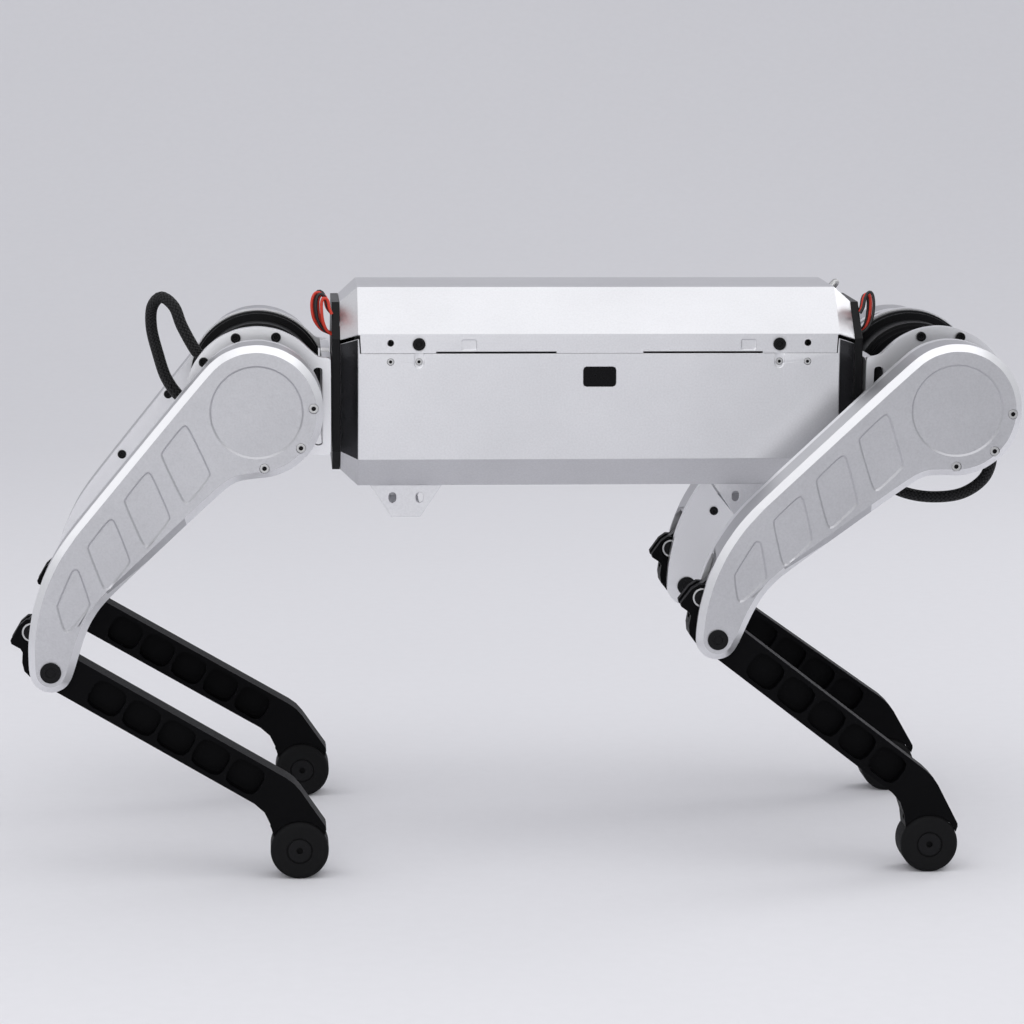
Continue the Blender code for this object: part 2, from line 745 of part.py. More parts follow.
def thigh_inner_shell():
    shell = prism(belt(thigh_circles()), THIGH_INNER, PARTING, in_thigh)
    low, high = THIGH_INNER - CHEEK, PARTING + CHEEK
    hub = circle(0.0, 0.0, CRANK_HUB_RADIUS + CRANK_HUB_ROOM)
    pin = circle(THIGH_LENGTH, 0.0, KNEE_PIN_RADIUS + BORE_GAP, SMALL_FACETS)
    return cut(
        shell,
        prism(thigh_cavity(), THIGH_INNER + THIGH_FLOOR, high, in_thigh),
        prism(hub, low, high, in_thigh),
        prism(pin, low, high, in_thigh),
    )


# Knee


def pin_with_heads(start, end, radius, head_radius, head):
    """A round pin between two flat heads that lie outside its seat."""
    return [
        (start - head, head_radius),
        (start, head_radius),
        (start, radius),
        (end, radius),
        (end, head_radius),
        (end + head, head_radius),
    ]


def knee_pin():
    profile = pin_with_heads(
        THIGH_INNER - FIT_GAP, THIGH_OUTER + FIT_GAP, KNEE_PIN_RADIUS, KNEE_PIN_HEAD_RADIUS, KNEE_PIN_HEAD
    )
    return turned(profile, in_thigh, (THIGH_LENGTH, 0.0), SMALL_FACETS)


def lever_pin():
    """The pin of the push rod with a bearing in each ear of the shin's lever."""
    seat = SHIN_WIDTH / 2 - BEARING_DEPTH + FIT_GAP
    head = BEARING_DEPTH - 2 * FIT_GAP
    profile = pin_with_heads(LEG_MIDDLE - seat, LEG_MIDDLE + seat, LEVER_PIN_RADIUS, BEARING_RADIUS, head)
    return turned(profile, in_shin, LEVER_PIN, SMALL_FACETS)


def crank():
    """A hub on the knee motor with an arm as long as the shin's lever."""
    rod_side = LEG_MIDDLE - ROD_THICKNESS / 2 - FIT_GAP
    arm = belt([(0.0, 0.0, CRANK_HUB_RADIUS, 1), (*LEVER_PIN, CRANK_EYE_RADIUS, 1)])
    hub = prism(circle(0.0, 0.0, CRANK_HUB_RADIUS), THIGH_INNER, rod_side - CRANK_ARM / 2, in_shin)
    pin_end = LEG_MIDDLE + ROD_THICKNESS / 2 + FIT_GAP
    pin = circle(*LEVER_PIN, LEVER_PIN_RADIUS, SMALL_FACETS)
    return join(
        prism(arm, rod_side - CRANK_ARM, rod_side, in_shin),
        hub,
        prism(pin, rod_side - CRANK_ARM / 2, pin_end, in_shin),
    )


def push_rod():
    """A bar with an eye at each end, as long as the thigh, from the crank's pin to the lever's."""
    fillet_at = fillet_between(ROD_EYE_RADIUS, ROD_FILLET, ROD_HALF_WIDTH)
    centre = ROD_HALF_WIDTH + ROD_FILLET
    circles = [
        (0.0, 0.0, ROD_EYE_RADIUS, 1),
        (fillet_at, -centre, ROD_FILLET, -1),
        (THIGH_LENGTH - fillet_at, -centre, ROD_FILLET, -1),
        (THIGH_LENGTH, 0.0, ROD_EYE_RADIUS, 1),
        (THIGH_LENGTH - fillet_at, centre, ROD_FILLET, -1),
        (fillet_at, centre, ROD_FILLET, -1),
    ]
    low, high = LEG_MIDDLE - ROD_THICKNESS / 2, LEG_MIDDLE + ROD_THICKNESS / 2
    eyes = [circle(at, 0.0, LEVER_PIN_RADIUS + BORE_GAP, SMALL_FACETS) for at in (0.0, THIGH_LENGTH)]
    bores = merged([prism(eye, low - CRANK_ARM, high + CRANK_ARM, in_thigh) for eye in eyes])
    return cut(prism(belt(circles), low, high, in_thigh), bores)


# Shin and foot


def beside_bar(along, across):
    """A point of the shin given along and across its tilted bar."""
    cos, sin = math.cos(SHIN_TILT), math.sin(SHIN_TILT)
    return along * cos - across * sin, along * sin + across * cos


def shin_circles():
    """Heel, ankle hollow, ankle, toe, ankle top, knee hollow, lever head, horn tip and notch."""
    heel = beside_bar(-HEEL_REACH, 0.0)
    hollow = beside_bar(ANKLE_HOLLOW_AT, -SHIN_BELOW - ANKLE_HOLLOW_RADIUS)
    ankle_top = beside_bar(ANKLE_TOP_AT, SHIN_ABOVE - ANKLE_TOP_RADIUS)
    knee_hollow = beside_bar(KNEE_HOLLOW_REACH, SHIN_ABOVE + KNEE_HOLLOW_RADIUS)
    return [
        (*heel, SHIN_BELOW, 1),
        (*hollow, ANKLE_HOLLOW_RADIUS, -1),
        (SHIN_LENGTH, 0.0, ANKLE_RADIUS, 1),
        (SHIN_LENGTH + TOE_PAST_CENTRE, FOOT_RADIUS + TOE_RADIUS / 2, TOE_RADIUS, 1),
        (*ankle_top, ANKLE_TOP_RADIUS, 1),
        (*knee_hollow, KNEE_HOLLOW_RADIUS, -1),
        (*LEVER_PIN, LEVER_HEAD_RADIUS, 1),
        (-HORN_REACH, 0.0, HORN_TIP_RADIUS, 1),
        (-NOTCH_REACH, -NOTCH_DROP, NOTCH_RADIUS, -1),
    ]


def shin_pockets():
    """The hollows between the ribs of the bar, with scalloped corners."""
    pitch = (SHIN_POCKET_LAST - SHIN_POCKET_FIRST) / SHIN_POCKET_COUNT
    low, high = SHIN_FLANGE - SHIN_BELOW, SHIN_ABOVE - SHIN_FLANGE
    outlines = []
    for i in range(SHIN_POCKET_COUNT):
        left = SHIN_POCKET_FIRST + i * pitch
        right = left + pitch - SHIN_RIB
        square = ((left, low), (right, low), (right, high), (left, high))
        corners = [beside_bar(*corner) for corner in square]
        outlines.append(rounded(corners, SHIN_POCKET_CORNER))
    return outlines


def shin():
    low, high = LEG_MIDDLE - SHIN_WIDTH / 2, LEG_MIDDLE + SHIN_WIDTH / 2
    bar = prism(belt(shin_circles()), low, high, in_shin)
    hollows = []
    for outline in shin_pockets():
        hollows.append(prism(outline, low - SHIN_WIDTH, LEG_MIDDLE - SHIN_WEB / 2, in_shin))
        hollows.append(prism(outline, LEG_MIDDLE + SHIN_WEB / 2, high + SHIN_WIDTH, in_shin))
    seats = []
    seat = circle(*LEVER_PIN, BEARING_RADIUS + BORE_GAP, SMALL_FACETS)
    seats.append(prism(seat, low - SHIN_WIDTH, low + BEARING_DEPTH, in_shin))
    seats.append(prism(seat, high - BEARING_DEPTH, high + SHIN_WIDTH, in_shin))
    slot_half = ROD_THICKNESS / 2 + FIT_GAP
    slot = circle(*LEVER_PIN, LEVER_SLOT_RADIUS)
    pin = circle(*LEVER_PIN, LEVER_PIN_RADIUS + BORE_GAP, SMALL_FACETS)
    knee = circle(0.0, 0.0, KNEE_PIN_RADIUS + BORE_GAP, SMALL_FACETS)
    foot_seat = (FOOT_RADIUS + FIT_GAP) / math.cos(math.pi / FOOT_FACETS)
    foot = circle(SHIN_LENGTH, 0.0, foot_seat, FOOT_FACETS)
    bar = cut(
        bar,
        merged(hollows),
        merged(seats),
        prism(slot, LEG_MIDDLE - slot_half, LEG_MIDDLE + slot_half, in_shin),
        merged([prism(hole, low - SHIN_WIDTH, high + SHIN_WIDTH, in_shin) for hole in (pin, knee)]),
        prism(foot, low - SHIN_WIDTH, high + SHIN_WIDTH, in_shin),
    )
    inner = LEG_MIDDLE - TONGUE_WIDTH / 2
    tongue = prism(tongue_outline(0.0), inner, inner + TONGUE_WIDTH, in_shin)
    return join(bar, tongue)


def tongue_outline(room):
    """The tongue that holds the foot: from inside the ankle to the foot's centre."""
    root = SHIN_LENGTH - FOOT_RADIUS - SHIN_FLANGE, SHIN_BELOW / 2
    return belt([(*root, TONGUE_RADIUS / 2 + room, 1), (SHIN_LENGTH, 0.0, TONGUE_RADIUS + room, 1)])


def foot(shin_pitch):
    """A rubber puck with sloped edges, slotted for the shin's tongue."""
    half = FOOT_WIDTH / 2
    side = [(half, FOOT_RADIUS - FOOT_EDGE), (half - FOOT_EDGE, FOOT_RADIUS)]
    profile = [(LEG_MIDDLE - level, radius) for level, radius in side]
    profile += [(LEG_MIDDLE + level, radius) for level, radius in reversed(side)]
    level_turn = shin_pitch + math.pi / FOOT_FACETS
    cos, sin = math.cos(level_turn), math.sin(level_turn)

    def on_floor(x, y, out):
        return in_shin(SHIN_LENGTH + x * cos - y * sin, x * sin + y * cos, out)

    slot_half = TONGUE_WIDTH / 2 + FIT_GAP
    slot = prism(tongue_outline(FIT_GAP), LEG_MIDDLE - slot_half, LEG_MIDDLE + slot_half, in_shin)
    return cut(turned(profile, on_floor, facets=FOOT_FACETS), slot)


# Stance


def leg_pitches(ahead):
    """Pitch of the thigh and of the knee that puts the foot under the hip, knee to the back."""
    reach = math.hypot(ahead, STANCE_HEIGHT)
    at_hip = (THIGH_LENGTH**2 + reach**2 - SHIN_LENGTH**2) / (2 * THIGH_LENGTH * reach)
    at_knee = (THIGH_LENGTH**2 + SHIN_LENGTH**2 - reach**2) / (2 * THIGH_LENGTH * SHIN_LENGTH)
    return math.acos(at_hip) - math.atan2(ahead, STANCE_HEIGHT), math.acos(at_knee) - math.pi


# Cables


def smooth_route(points, step):
    """Points about a step apart on a smooth curve through the route's own points."""
    route = [Vector(point) for point in points]
    fine = []
    for i in range(len(route) - 1):
        before = route[max(i - 1, 0)]
        start, end = route[i], route[i + 1]
        after = route[min(i + 2, len(route) - 1)]
        pieces = max(1, round((end - start).length / step))
        for piece in range(pieces):
            t = piece / pieces
            bend = (end - before) * t + (2 * before - 5 * start + 4 * end - after) * t * t
            fine.append(start + (bend + (3 * start - before - 3 * end + after) * t**3) / 2)
    return [*fine, route[-1]]


def cable(name, points, material, parent):
    """A round cable along a route, with flat ends."""
    curve = bpy.data.curves.new(name, "CURVE")
    curve.dimensions = "3D"
    curve.bevel_depth = CABLE_DIAMETER / 2
    curve.bevel_resolution = CABLE_RESOLUTION
    curve.use_fill_caps = True
    route = smooth_route(points, CABLE_POINT_STEP * CABLE_DIAMETER / 2)
    spline = curve.splines.new("POLY")
    spline.points.add(len(route) - 1)
    for point, place in zip(spline.points, route):
        point.co = (*place, 1.0)
    curve.materials.append(material)
    obj = bpy.data.objects.new(name, curve)
    obj.parent = parent
    bpy.context.scene.collection.objects.link(obj)


def on_hip_motor(angle, out, lift):
    """A point over the hip motor's round side, by the angle from straight ahead."""
    reach = HIP_MOTOR_RADIUS + FIT_GAP + lift
    return reach * math.cos(angle), -out, reach * math.sin(angle)


def rear_cable_route():
    """The loop that stands up behind the rear right hip."""
    start, end = math.radians(143), math.radians(184)
    return [
        on_hip_motor(start, 22 * MM, 0.0),
        on_hip_motor(start, 22 * MM, 14 * MM),
        (-76 * MM, -22 * MM, 72 * MM),
        (-84 * MM, -20 * MM, 92 * MM),
        (-97 * MM, -11 * MM, 101 * MM),
        (-107 * MM, -1 * MM, 90 * MM),
        (-108 * MM, 4 * MM, 68 * MM),
        (-102 * MM, 6 * MM, 42 * MM),
        (-93 * MM, 6 * MM, 15 * MM),
        on_hip_motor(end, -6 * MM, 14 * MM),
        on_hip_motor(end, -6 * MM, 0.0),
    ]


def front_cable_route():
    """The loop that hangs under the front right hip."""
    start, end = math.radians(-42), math.radians(-128)
    return [
        on_hip_motor(start, 20 * MM, 0.0),
        on_hip_motor(start, 20 * MM, 10 * MM),
        (62 * MM, -20 * MM, -66 * MM),
        (55 * MM, -18 * MM, -88 * MM),
        (34 * MM, -14 * MM, -104 * MM),
        (6 * MM, -8 * MM, -109 * MM),
        (-22 * MM, -2 * MM, -106 * MM),
        (-46 * MM, 3 * MM, -95 * MM),
        (-55 * MM, 6 * MM, -78 * MM),
        on_hip_motor(end, -6 * MM, 10 * MM),
        on_hip_motor(end, -6 * MM, 0.0),
    ]


# Assembly


def build_torso(root, finish):
    shell, black, dark = finish["aluminium"], finish["black"], finish["dark"]
    add("torso_tub", torso_tub(), shell, root)
    add("torso_lid", torso_lid(), shell, root)
    add("battery_pack", battery_pack(), dark, root)
    add("controller_box", controller_box(), dark, root)
    add("side_window", side_window(), black, root)
    add("antenna", antenna(), finish["grey"], root)
    for name, end, skid_x in (("front", 1, FRONT_SKID_X), ("rear", -1, REAR_SKID_X)):
        add(f"{name}_bulkhead", bulkhead(end), black, root)
        add(f"{name}_skid", skid(skid_x), shell, root)
        for letter, side in (("r", -1), ("l", 1)):
            add(f"{name[0]}{letter}_abduction_motor", abduction_motor(end, side), black, root)


def leg_solids():
    """One mesh of each piece that all four legs share."""
    return {
        "hip_yoke": hip_yoke(),
        "hip_motor": hip_motor(),
        "knee_motor": knee_motor(),
        "thigh_inner_shell": thigh_inner_shell(),
        "thigh_outer_shell": thigh_outer_shell(),
        "knee_pin": knee_pin(),
        "crank": crank(),
        "push_rod": push_rod(),
        "shin": shin(),
        "lever_pin": lever_pin(),
    }


def build_leg(corner, root, solids, finish):
    """A leg on its pivots; returns the hip's pivot, which carries the cables."""
    front, left = corner[0] == "f", corner[1] == "l"
    thigh_pitch, knee_pitch = leg_pitches(FOOT_AHEAD[corner])
    place = (HIP_X if front else -HIP_X, HIP_Y if left else -HIP_Y, 0.0)
    hip = pivot(f"{corner}_abduction_axis", place, root)
    thigh = pivot(f"{corner}_hip_axis", (0.0, 0.0, 0.0), hip, thigh_pitch)
    knee = pivot(f"{corner}_knee_axis", in_thigh(THIGH_LENGTH, 0.0, 0.0), thigh, knee_pitch)
    drive = pivot(f"{corner}_crank_axis", (0.0, 0.0, 0.0), thigh, knee_pitch)
    rod = pivot(f"{corner}_rod_axis", in_shin(*LEVER_PIN, 0.0), drive, -knee_pitch)
    pieces = [
        ("hip_yoke", hip, "aluminium"),
        ("hip_motor", hip, "black"),
        ("knee_motor", thigh, "dark"),
        ("thigh_inner_shell", thigh, "aluminium"),
        ("thigh_outer_shell", thigh, "aluminium"),
        ("knee_pin", thigh, "black"),
        ("crank", drive, "dark"),
        ("push_rod", rod, "black"),
        ("shin", knee, "plastic"),
        ("lever_pin", knee, "grey"),
    ]
    for name, parent, colour in pieces:
        turned_round = name == "hip_yoke" and not front
        add(f"{corner}_{name}", solids[name], finish[colour], parent, turned_round, left)
    add(f"{corner}_foot", foot(thigh_pitch + knee_pitch), finish["rubber"], knee, False, left)
    return hip


def centre_over_floor(root):
    """Move the robot so that the middle of its box, without its cables, is over the origin."""
    bpy.context.view_layer.update()
    corners = []
    for obj in bpy.data.objects:
        if obj.type == "MESH":
            corners += [obj.matrix_world @ vertex.co for vertex in obj.data.vertices]
    for axis in (0, 1):
        spread = [corner[axis] for corner in corners]
        root.location[axis] -= (min(spread) + max(spread)) / 2
    root.location.z -= min(corner.z for corner in corners)


def main():
    clear_scene()
    finish = {
        "aluminium": make_material("bead_blasted_aluminium", (0.62, 0.62, 0.64), 0.42, 0.9),
        "black": make_material("black_anodised", (0.015, 0.015, 0.016), 0.4, 0.3),
        "dark": make_material("dark_grey_housing", (0.08, 0.08, 0.085), 0.45, 0.5),
        "grey": make_material("bare_steel", (0.35, 0.35, 0.36), 0.35, 0.9),
        "plastic": make_material("black_plastic", (0.012, 0.012, 0.013), 0.5, 0.0),
        "rubber": make_material("black_rubber", (0.014, 0.014, 0.014), 0.75, 0.0),
        "braid": make_material("braided_sleeve", (0.012, 0.012, 0.013), 0.7, 0.0),
    }
    root = pivot("robot", (0.0, 0.0, 0.0))
    build_torso(root, finish)
    solids = leg_solids()
    hips = {corner: build_leg(corner, root, solids, finish) for corner in FOOT_AHEAD}
    centre_over_floor(root)
    cable("rear_cable_loop", rear_cable_route(), finish["braid"], hips["rr"])
    cable("front_cable_loop", front_cable_route(), finish["braid"], hips["fr"])


main()
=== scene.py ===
"""Looks of a quadruped robot dog: blasted aluminium, black motors, ribbed plastic shins and rubber feet.
"""

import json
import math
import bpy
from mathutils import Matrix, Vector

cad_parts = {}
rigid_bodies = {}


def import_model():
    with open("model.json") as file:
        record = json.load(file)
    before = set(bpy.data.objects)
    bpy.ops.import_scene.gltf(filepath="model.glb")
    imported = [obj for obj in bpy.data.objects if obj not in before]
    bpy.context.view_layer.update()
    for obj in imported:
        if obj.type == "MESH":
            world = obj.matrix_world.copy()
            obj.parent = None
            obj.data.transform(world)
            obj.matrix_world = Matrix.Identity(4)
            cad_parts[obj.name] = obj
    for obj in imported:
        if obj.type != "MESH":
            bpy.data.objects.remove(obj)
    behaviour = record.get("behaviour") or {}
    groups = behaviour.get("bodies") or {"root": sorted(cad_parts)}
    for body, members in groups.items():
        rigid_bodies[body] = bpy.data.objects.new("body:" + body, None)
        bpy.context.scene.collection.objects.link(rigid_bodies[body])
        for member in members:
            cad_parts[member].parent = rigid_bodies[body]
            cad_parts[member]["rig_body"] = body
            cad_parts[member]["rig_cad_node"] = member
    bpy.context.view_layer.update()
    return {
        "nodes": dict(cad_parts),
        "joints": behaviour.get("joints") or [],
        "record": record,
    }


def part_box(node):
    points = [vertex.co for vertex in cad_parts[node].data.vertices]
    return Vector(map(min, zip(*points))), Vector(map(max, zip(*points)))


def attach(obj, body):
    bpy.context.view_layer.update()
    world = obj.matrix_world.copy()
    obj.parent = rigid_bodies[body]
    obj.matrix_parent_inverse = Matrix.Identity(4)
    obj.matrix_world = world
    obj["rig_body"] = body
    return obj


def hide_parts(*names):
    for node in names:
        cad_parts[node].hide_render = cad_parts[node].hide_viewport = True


bl_info = {
    "name": "Quadruped Robot Looks",
    "version": (1, 0, 0),
    "blender": (4, 5, 0),
    "location": "View3D > Sidebar > Robot",
    "description": "Dresses a quadruped robot's solids and sets a studio round it",
    "category": "Object",
}

from typing import NamedTuple

import bmesh
import bpy
from bpy.props import FloatProperty, FloatVectorProperty, PointerProperty
from mathutils import Matrix, Vector

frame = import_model()

MM = 0.001
LEGS = ("fr", "fl", "rr", "rl")
JOINTS = {joint["name"]: joint for joint in frame["joints"]}
BODIES = frame["record"]["behaviour"]["bodies"]
BODY_OF = {node: body for body, nodes in BODIES.items() for node in nodes}

# Limits of the tests on meshes: shares of directions, angles in degrees, the area of a flat face, distances
ALIKE = 0.999
TAPER_SLANT = (0.4, 0.9)
TAPER_LEAN = 0.2
CHAMFER_SLANT = (0.5, 0.9)
UPRIGHT = 0.1
SHARP_TURN = 35.0
ARC_TURN_LEAST = 4.0
ARC_TURN = 33.0
ANTENNA_ARC_TURN = 40.0
BEVEL_TURN = 34.0
DRESSED_TURN = 62.0
LARGE_FACE = 4e-4
TOUCHING = 1e-6
MERGED = 1e-5
SAME_LEVEL = 0.05 * MM
SLIVER = 0.01 * MM
FLAT_TURN = 0.5

# Sides of round pieces
LARGE_ROUND = 96
PIN_ROUND = 48
HEAD_ROUND = 40
HOLE_ROUND = 32

# Cutters: how far they stand out of a face, and their room round a screw's head
PROUD = 1 * MM
SCREW_ROOM = 0.35 * MM

# Fittings on the case, placed from its middle and from the seam under the lid
LID_HOLES = (-214 * MM, 214 * MM)
LID_HOLE_RISE = 10.5 * MM
LID_HOLE_RADIUS = 3.5 * MM
LID_HOLE_DEPTH = 4 * MM
LID_BOLTS = (-185 * MM, 185 * MM)
LID_BOLT_RISE = 9.2 * MM
BOLT_SLOT_LIFT = 1 * MM
BOLT_SLOT_ROOM = 1 * MM
BOLT_SLOT_DEPTH = 1.6 * MM
BOLT_SLOT_STRETCH = 1.14
CASE_SCREW_DROP = 8.8 * MM
CASE_SCREW_DEPTH = 3.2 * MM
STAMPS = (-134 * MM, 153 * MM)
STAMP_RISE = 8.5 * MM
STAMP_SIZE = (19.5 * MM, 3 * MM, 14 * MM)
STAMP_CORNER = 3 * MM
STAMP_DRAFT = (0.66, 0.66)
TONGUE_SIZE = (12.5 * MM, 2.6 * MM, 17 * MM)
TONGUE_CORNER = 6.2 * MM
TONGUE_DRAFT = (0.7, 0.86)
TONGUE_SCREW_DEPTH = 1 * MM
SMALL_EDGE = 0.3 * MM

# Screws on the legs: circles round the hip, and distances along and behind the thigh
FLANGE_SCREWS = 7
FLANGE_SCREW_FIRST = 73.0
FLANGE_SCREW_TURN = 36.0
FLANGE_SCREW_CIRCLE = 66 * MM
BOSS_SCREW_TURNS = (46.0, 89.0, 132.0)
BOSS_SCREW_CIRCLE = 56.5 * MM
BOSS_SCREW_DEPTH = 3.4 * MM
COVER_SCREWS = ((80 * MM, 62 * MM), (163 * MM, 62 * MM), (251 * MM, 37 * MM))

# Slopes in the recesses of the thighs' faces, and how deep the chamfer round a face lies
RECESS_SLOPE = 1.9 * MM
SHALLOWEST = 0.1 * MM
CHAMFER_DEPTHS = (2 * MM, 6 * MM)

# Screw heads: start and end from their face, radius and depth of the socket, and rounding of the edges
LID_BOLT = (-1.6 * MM, 1.0 * MM, 3.0 * MM, 2.0 * MM, 0.6 * MM)
CASE_SCREW = (-2 * MM, -0.15 * MM, 1.6 * MM, 1.7 * MM, 0.25 * MM)
FLANGE_SCREW = (-1 * MM, 4.6 * MM, 2.6 * MM, 2.4 * MM, 0.5 * MM)
BOSS_SCREW = (-BOSS_SCREW_DEPTH, -0.5 * MM, 2.2 * MM, 2.6 * MM, 0.4 * MM)
COVER_SCREW = (-1 * MM, 2.2 * MM, 2.0 * MM, 1.4 * MM, 0.5 * MM)

# Motors: lengths and radii, and steps of their ends as pairs of an inset and a rise in millimetres
HIP_SEAT = 10.3 * MM
HIP_HUB_RADIUS = 28 * MM
HIP_CAP = 7 * MM
HIP_CAP_STEPS = ((3, 1.5), (4, 5.5), (12, -1.5), (14, 1.5))
HIP_EDGE = 0.7 * MM
RIM_SEAT = 10.2 * MM
RIM_RADIUS = 72 * MM
RIM_WIDTH = 10 * MM
RIM_STEPS = ((2, 1.5), (0, 5))
RIM_FLAT = 64 * MM
RIM_ROOM = 0.05 * MM
RIM_BORE_DEPTH = 20 * MM
RIM_EDGE = 0.6 * MM
KNEE_FLANGE = 5 * MM
KNEE_NECK_STEPS = ((2.5, 9), (1.2, 1.6))
KNEE_CAN_SCALE = 1.02
KNEE_ALL_BUT_CAN = 18.6 * MM
KNEE_CAP_STEPS = ((3, 3), (18, -1))
KNEE_EDGE = 0.6 * MM
ABDUCTION_CAN = 45 * MM
ABDUCTION_NECK_RADIUS = 18 * MM
ABDUCTION_EDGE = 0.8 * MM

# Pins and feet: radii, lengths of the heads, and steps of their ends in millimetres
KNEE_PIN_WAIST = 8 * MM
KNEE_PIN_HEAD = 2 * MM
KNEE_PIN_STEPS = ((5.5, -1.6),)
KNEE_PIN_EDGE = 0.5 * MM
LEVER_PIN_WAIST = 5 * MM
LEVER_PIN_HEAD = 3.4 * MM
LEVER_PIN_STEPS = ((2, -0.6), (3, 0.6))
LEVER_PIN_EDGE = 0.3 * MM
RACE_WIDTH = 1.8 * MM
FOOT_RADIUS = 29.5 * MM
FOOT_ROUNDING = 5 * MM
FOOT_STEPS = ((11.2, -1.8), (1.6, 1.5), (8.5, -4))
FOOT_EDGE = 0.4 * MM
FOOT_EDGE_TURN = 50.0
FOOT_HUB = (3.4 * MM, 11.9 * MM)

# Cable loops, in millimetres and degrees: the leg, the start on the hip motor's side, by an angle from ahead,
# a distance outwards and a straight length, the points of the loop, from the hip, and the end
CABLE_DIAMETER = 12 * MM
CABLE_STEP = 4 * MM
CABLE_CLEARANCE = 0.3 * MM
BRAID_PITCH = 4.2 * MM
REAR_LOOP = (
    (-76, -22, 72), (-84, -20, 92), (-97, -11, 101), (-107, -1, 90),
    (-108, 4, 68), (-102, 6, 42), (-93, 6, 15),
)
FRONT_LOOP = (
    (62, -20, -66), (55, -18, -88), (34, -14, -104), (6, -8, -109),
    (-22, -2, -106), (-46, 3, -95), (-55, 6, -78),
)
CABLE_LOOPS = {
    "rear_cable_loop": ("rr", (143, 22, 14), REAR_LOOP, (184, -6, 14)),
    "front_cable_loop": ("fr", (-42, 20, 10), FRONT_LOOP, (-128, -6, 10)),
}

# Motor wires, in millimetres: an arch out of an end plate and over its top edge, and for each wire its place
# across the robot, its shares of the arch's reach and rise, and its finish
WIRE_STEP = 2 * MM
WIRE_ARCH = ((0, -11), (4, -5), (6, 4), (9, 10), (13, 11), (16, 6), (17, -4), (15, -17), (9, -27), (0, -32))
WIRES = {
    "rear": (
        (-65, 0.62, 0.5, "red_insulation"),
        (-61, 0.95, 0.85, "black_insulation"),
        (-57, 1.2, 0.95, "red_insulation"),
        (-53, 0.82, 0.7, "red_insulation"),
        (-49, 1.06, 1.0, "black_insulation"),
    ),
    "front": (
        (-62, 0.85, 1.0, "black_insulation"),
        (-57, 0.7, 0.85, "red_insulation"),
        (-53, 0.58, 0.7, "black_insulation"),
    ),
}

# Stage
IMAGE_WIDTH = 1024
SENSOR_WIDTH = 36.0
FLOOR_SIZE = 14.0
WALL_HEIGHT = 8.0
WALL_BEND = 4.0
LAMP_AIM = Vector((0.0, 0.0, 0.35))
RIM_SHARE = 0.5
SKY_COLOUR = (0.96, 0.97, 1.0, 1.0)


# Settings


def length(name, description, default):
    return FloatProperty(name=name, description=description, default=default, unit="LENGTH", precision=4)


def number(name, description, default):
    return FloatProperty(name=name, description=description, default=default, min=0)


def colour(name, description, default):
    return FloatVectorProperty(
        name=name, description=description, default=default, subtype="COLOR", min=0, max=1
    )


class RobotSizes(bpy.types.PropertyGroup):
    """Sizes of the details that the solids leave out."""

    sheet_edge: length("Sheet edge", "Radius on the folds and edges of the case", 0.9 * MM)
    milled_edge: length("Milled edge", "Radius on the edges of milled pieces", 0.8 * MM)
    moulded_edge: length("Moulded edge", "Radius on the edges of moulded pieces", 1.2 * MM)
    screw_radius: length("Screw head", "Radius of a screw's head on the thighs", 4.7 * MM)
    case_screw_radius: length("Case screw head", "Radius of a small screw's head on the case", 3.4 * MM)
    socket_screw_radius: length("Socket screw head", "Radius of a socket screw's head", 5.0 * MM)
    lid_bolt_radius: length("Lid bolt head", "Radius of a lid bolt's head", 6.5 * MM)
    wire_diameter: length("Wire", "Diameter of a motor wire", 3.2 * MM)


class RobotColours(bpy.types.PropertyGroup):
    """Colours of the finishes."""

    aluminium: colour("Aluminium", "Blasted outer faces of the thighs", (0.5, 0.5, 0.52))
    sheet: colour("Sheet", "Blasted sheet of the case", (0.67, 0.67, 0.69))
    # Lighter cut metal; on the thighs' chamfers it is in part a painted highlight
    machined: colour("Machined", "Fresh cut metal of the yokes and the thighs' edges", (0.8, 0.8, 0.82))
    # Dark metal on the case's tapered ends: a painted reflection of the dark parts beside them
    dark_fold: colour("Dark fold", "Tapered ends of the lower case", (0.05, 0.05, 0.054))
    black_metal: colour("Black metal", "Anodised motors and screws", (0.006, 0.006, 0.0068))
    housing: colour("Housing", "Dark grey knee motors", (0.06, 0.06, 0.064))
    plastic: colour("Plastic", "Moulded shins", (0.0025, 0.0025, 0.003))
    rubber: colour("Rubber", "Feet", (0.004, 0.004, 0.0045))
    steel: colour("Steel", "Bearings and bare screws", (0.5, 0.5, 0.5))
    braid: colour("Braid", "Woven sleeve of the cables", (0.015, 0.015, 0.0165))
    red_wire: colour("Red wire", "Insulation of the red wires", (0.62, 0.035, 0.015))
    black_wire: colour("Black wire", "Insulation of the black wires", (0.012, 0.012, 0.013))
    window: colour("Window", "Glossy display in the side", (0.003, 0.003, 0.0035))
    backdrop: colour("Backdrop", "Floor and background", (0.79, 0.785, 0.815))


class RobotStage(bpy.types.PropertyGroup):
    """Camera and lamps."""

    camera_place: FloatVectorProperty(
        name="Camera",
        description="Place of the camera",
        default=(-0.241, -3.725, 0.929),
        subtype="TRANSLATION",
    )
    camera_turn: FloatVectorProperty(
        name="Camera turn",
        description="Turn to the right, down and over",
        default=(math.radians(3.76), math.radians(8.91), math.radians(0.32)),
        subtype="EULER",
    )
    focal_pixels: number("Focal length", "In pixels of the square image", 3578.0)
    key_power: number("Key", "Power of the lamp overhead, in watts", 28.0)
    fill_power: number("Fill", "Power of the lamp beside the camera, in watts", 32.0)
    edge_power: number("Edge", "Power of the lamp on the left, in watts", 5.0)
    sky: number("Sky", "Strength of the even light", 0.7)


# Helpers on places


def on_circle(radius, turns):
    """Points on a circle at some angles in degrees."""
    return [(radius * math.cos(turn), radius * math.sin(turn)) for turn in map(math.radians, turns)]


def half_height(node):
    """Half the height of a node, which is the radius of a round one that lies flat."""
    low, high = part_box(node)
    return (high.z - low.z) / 2


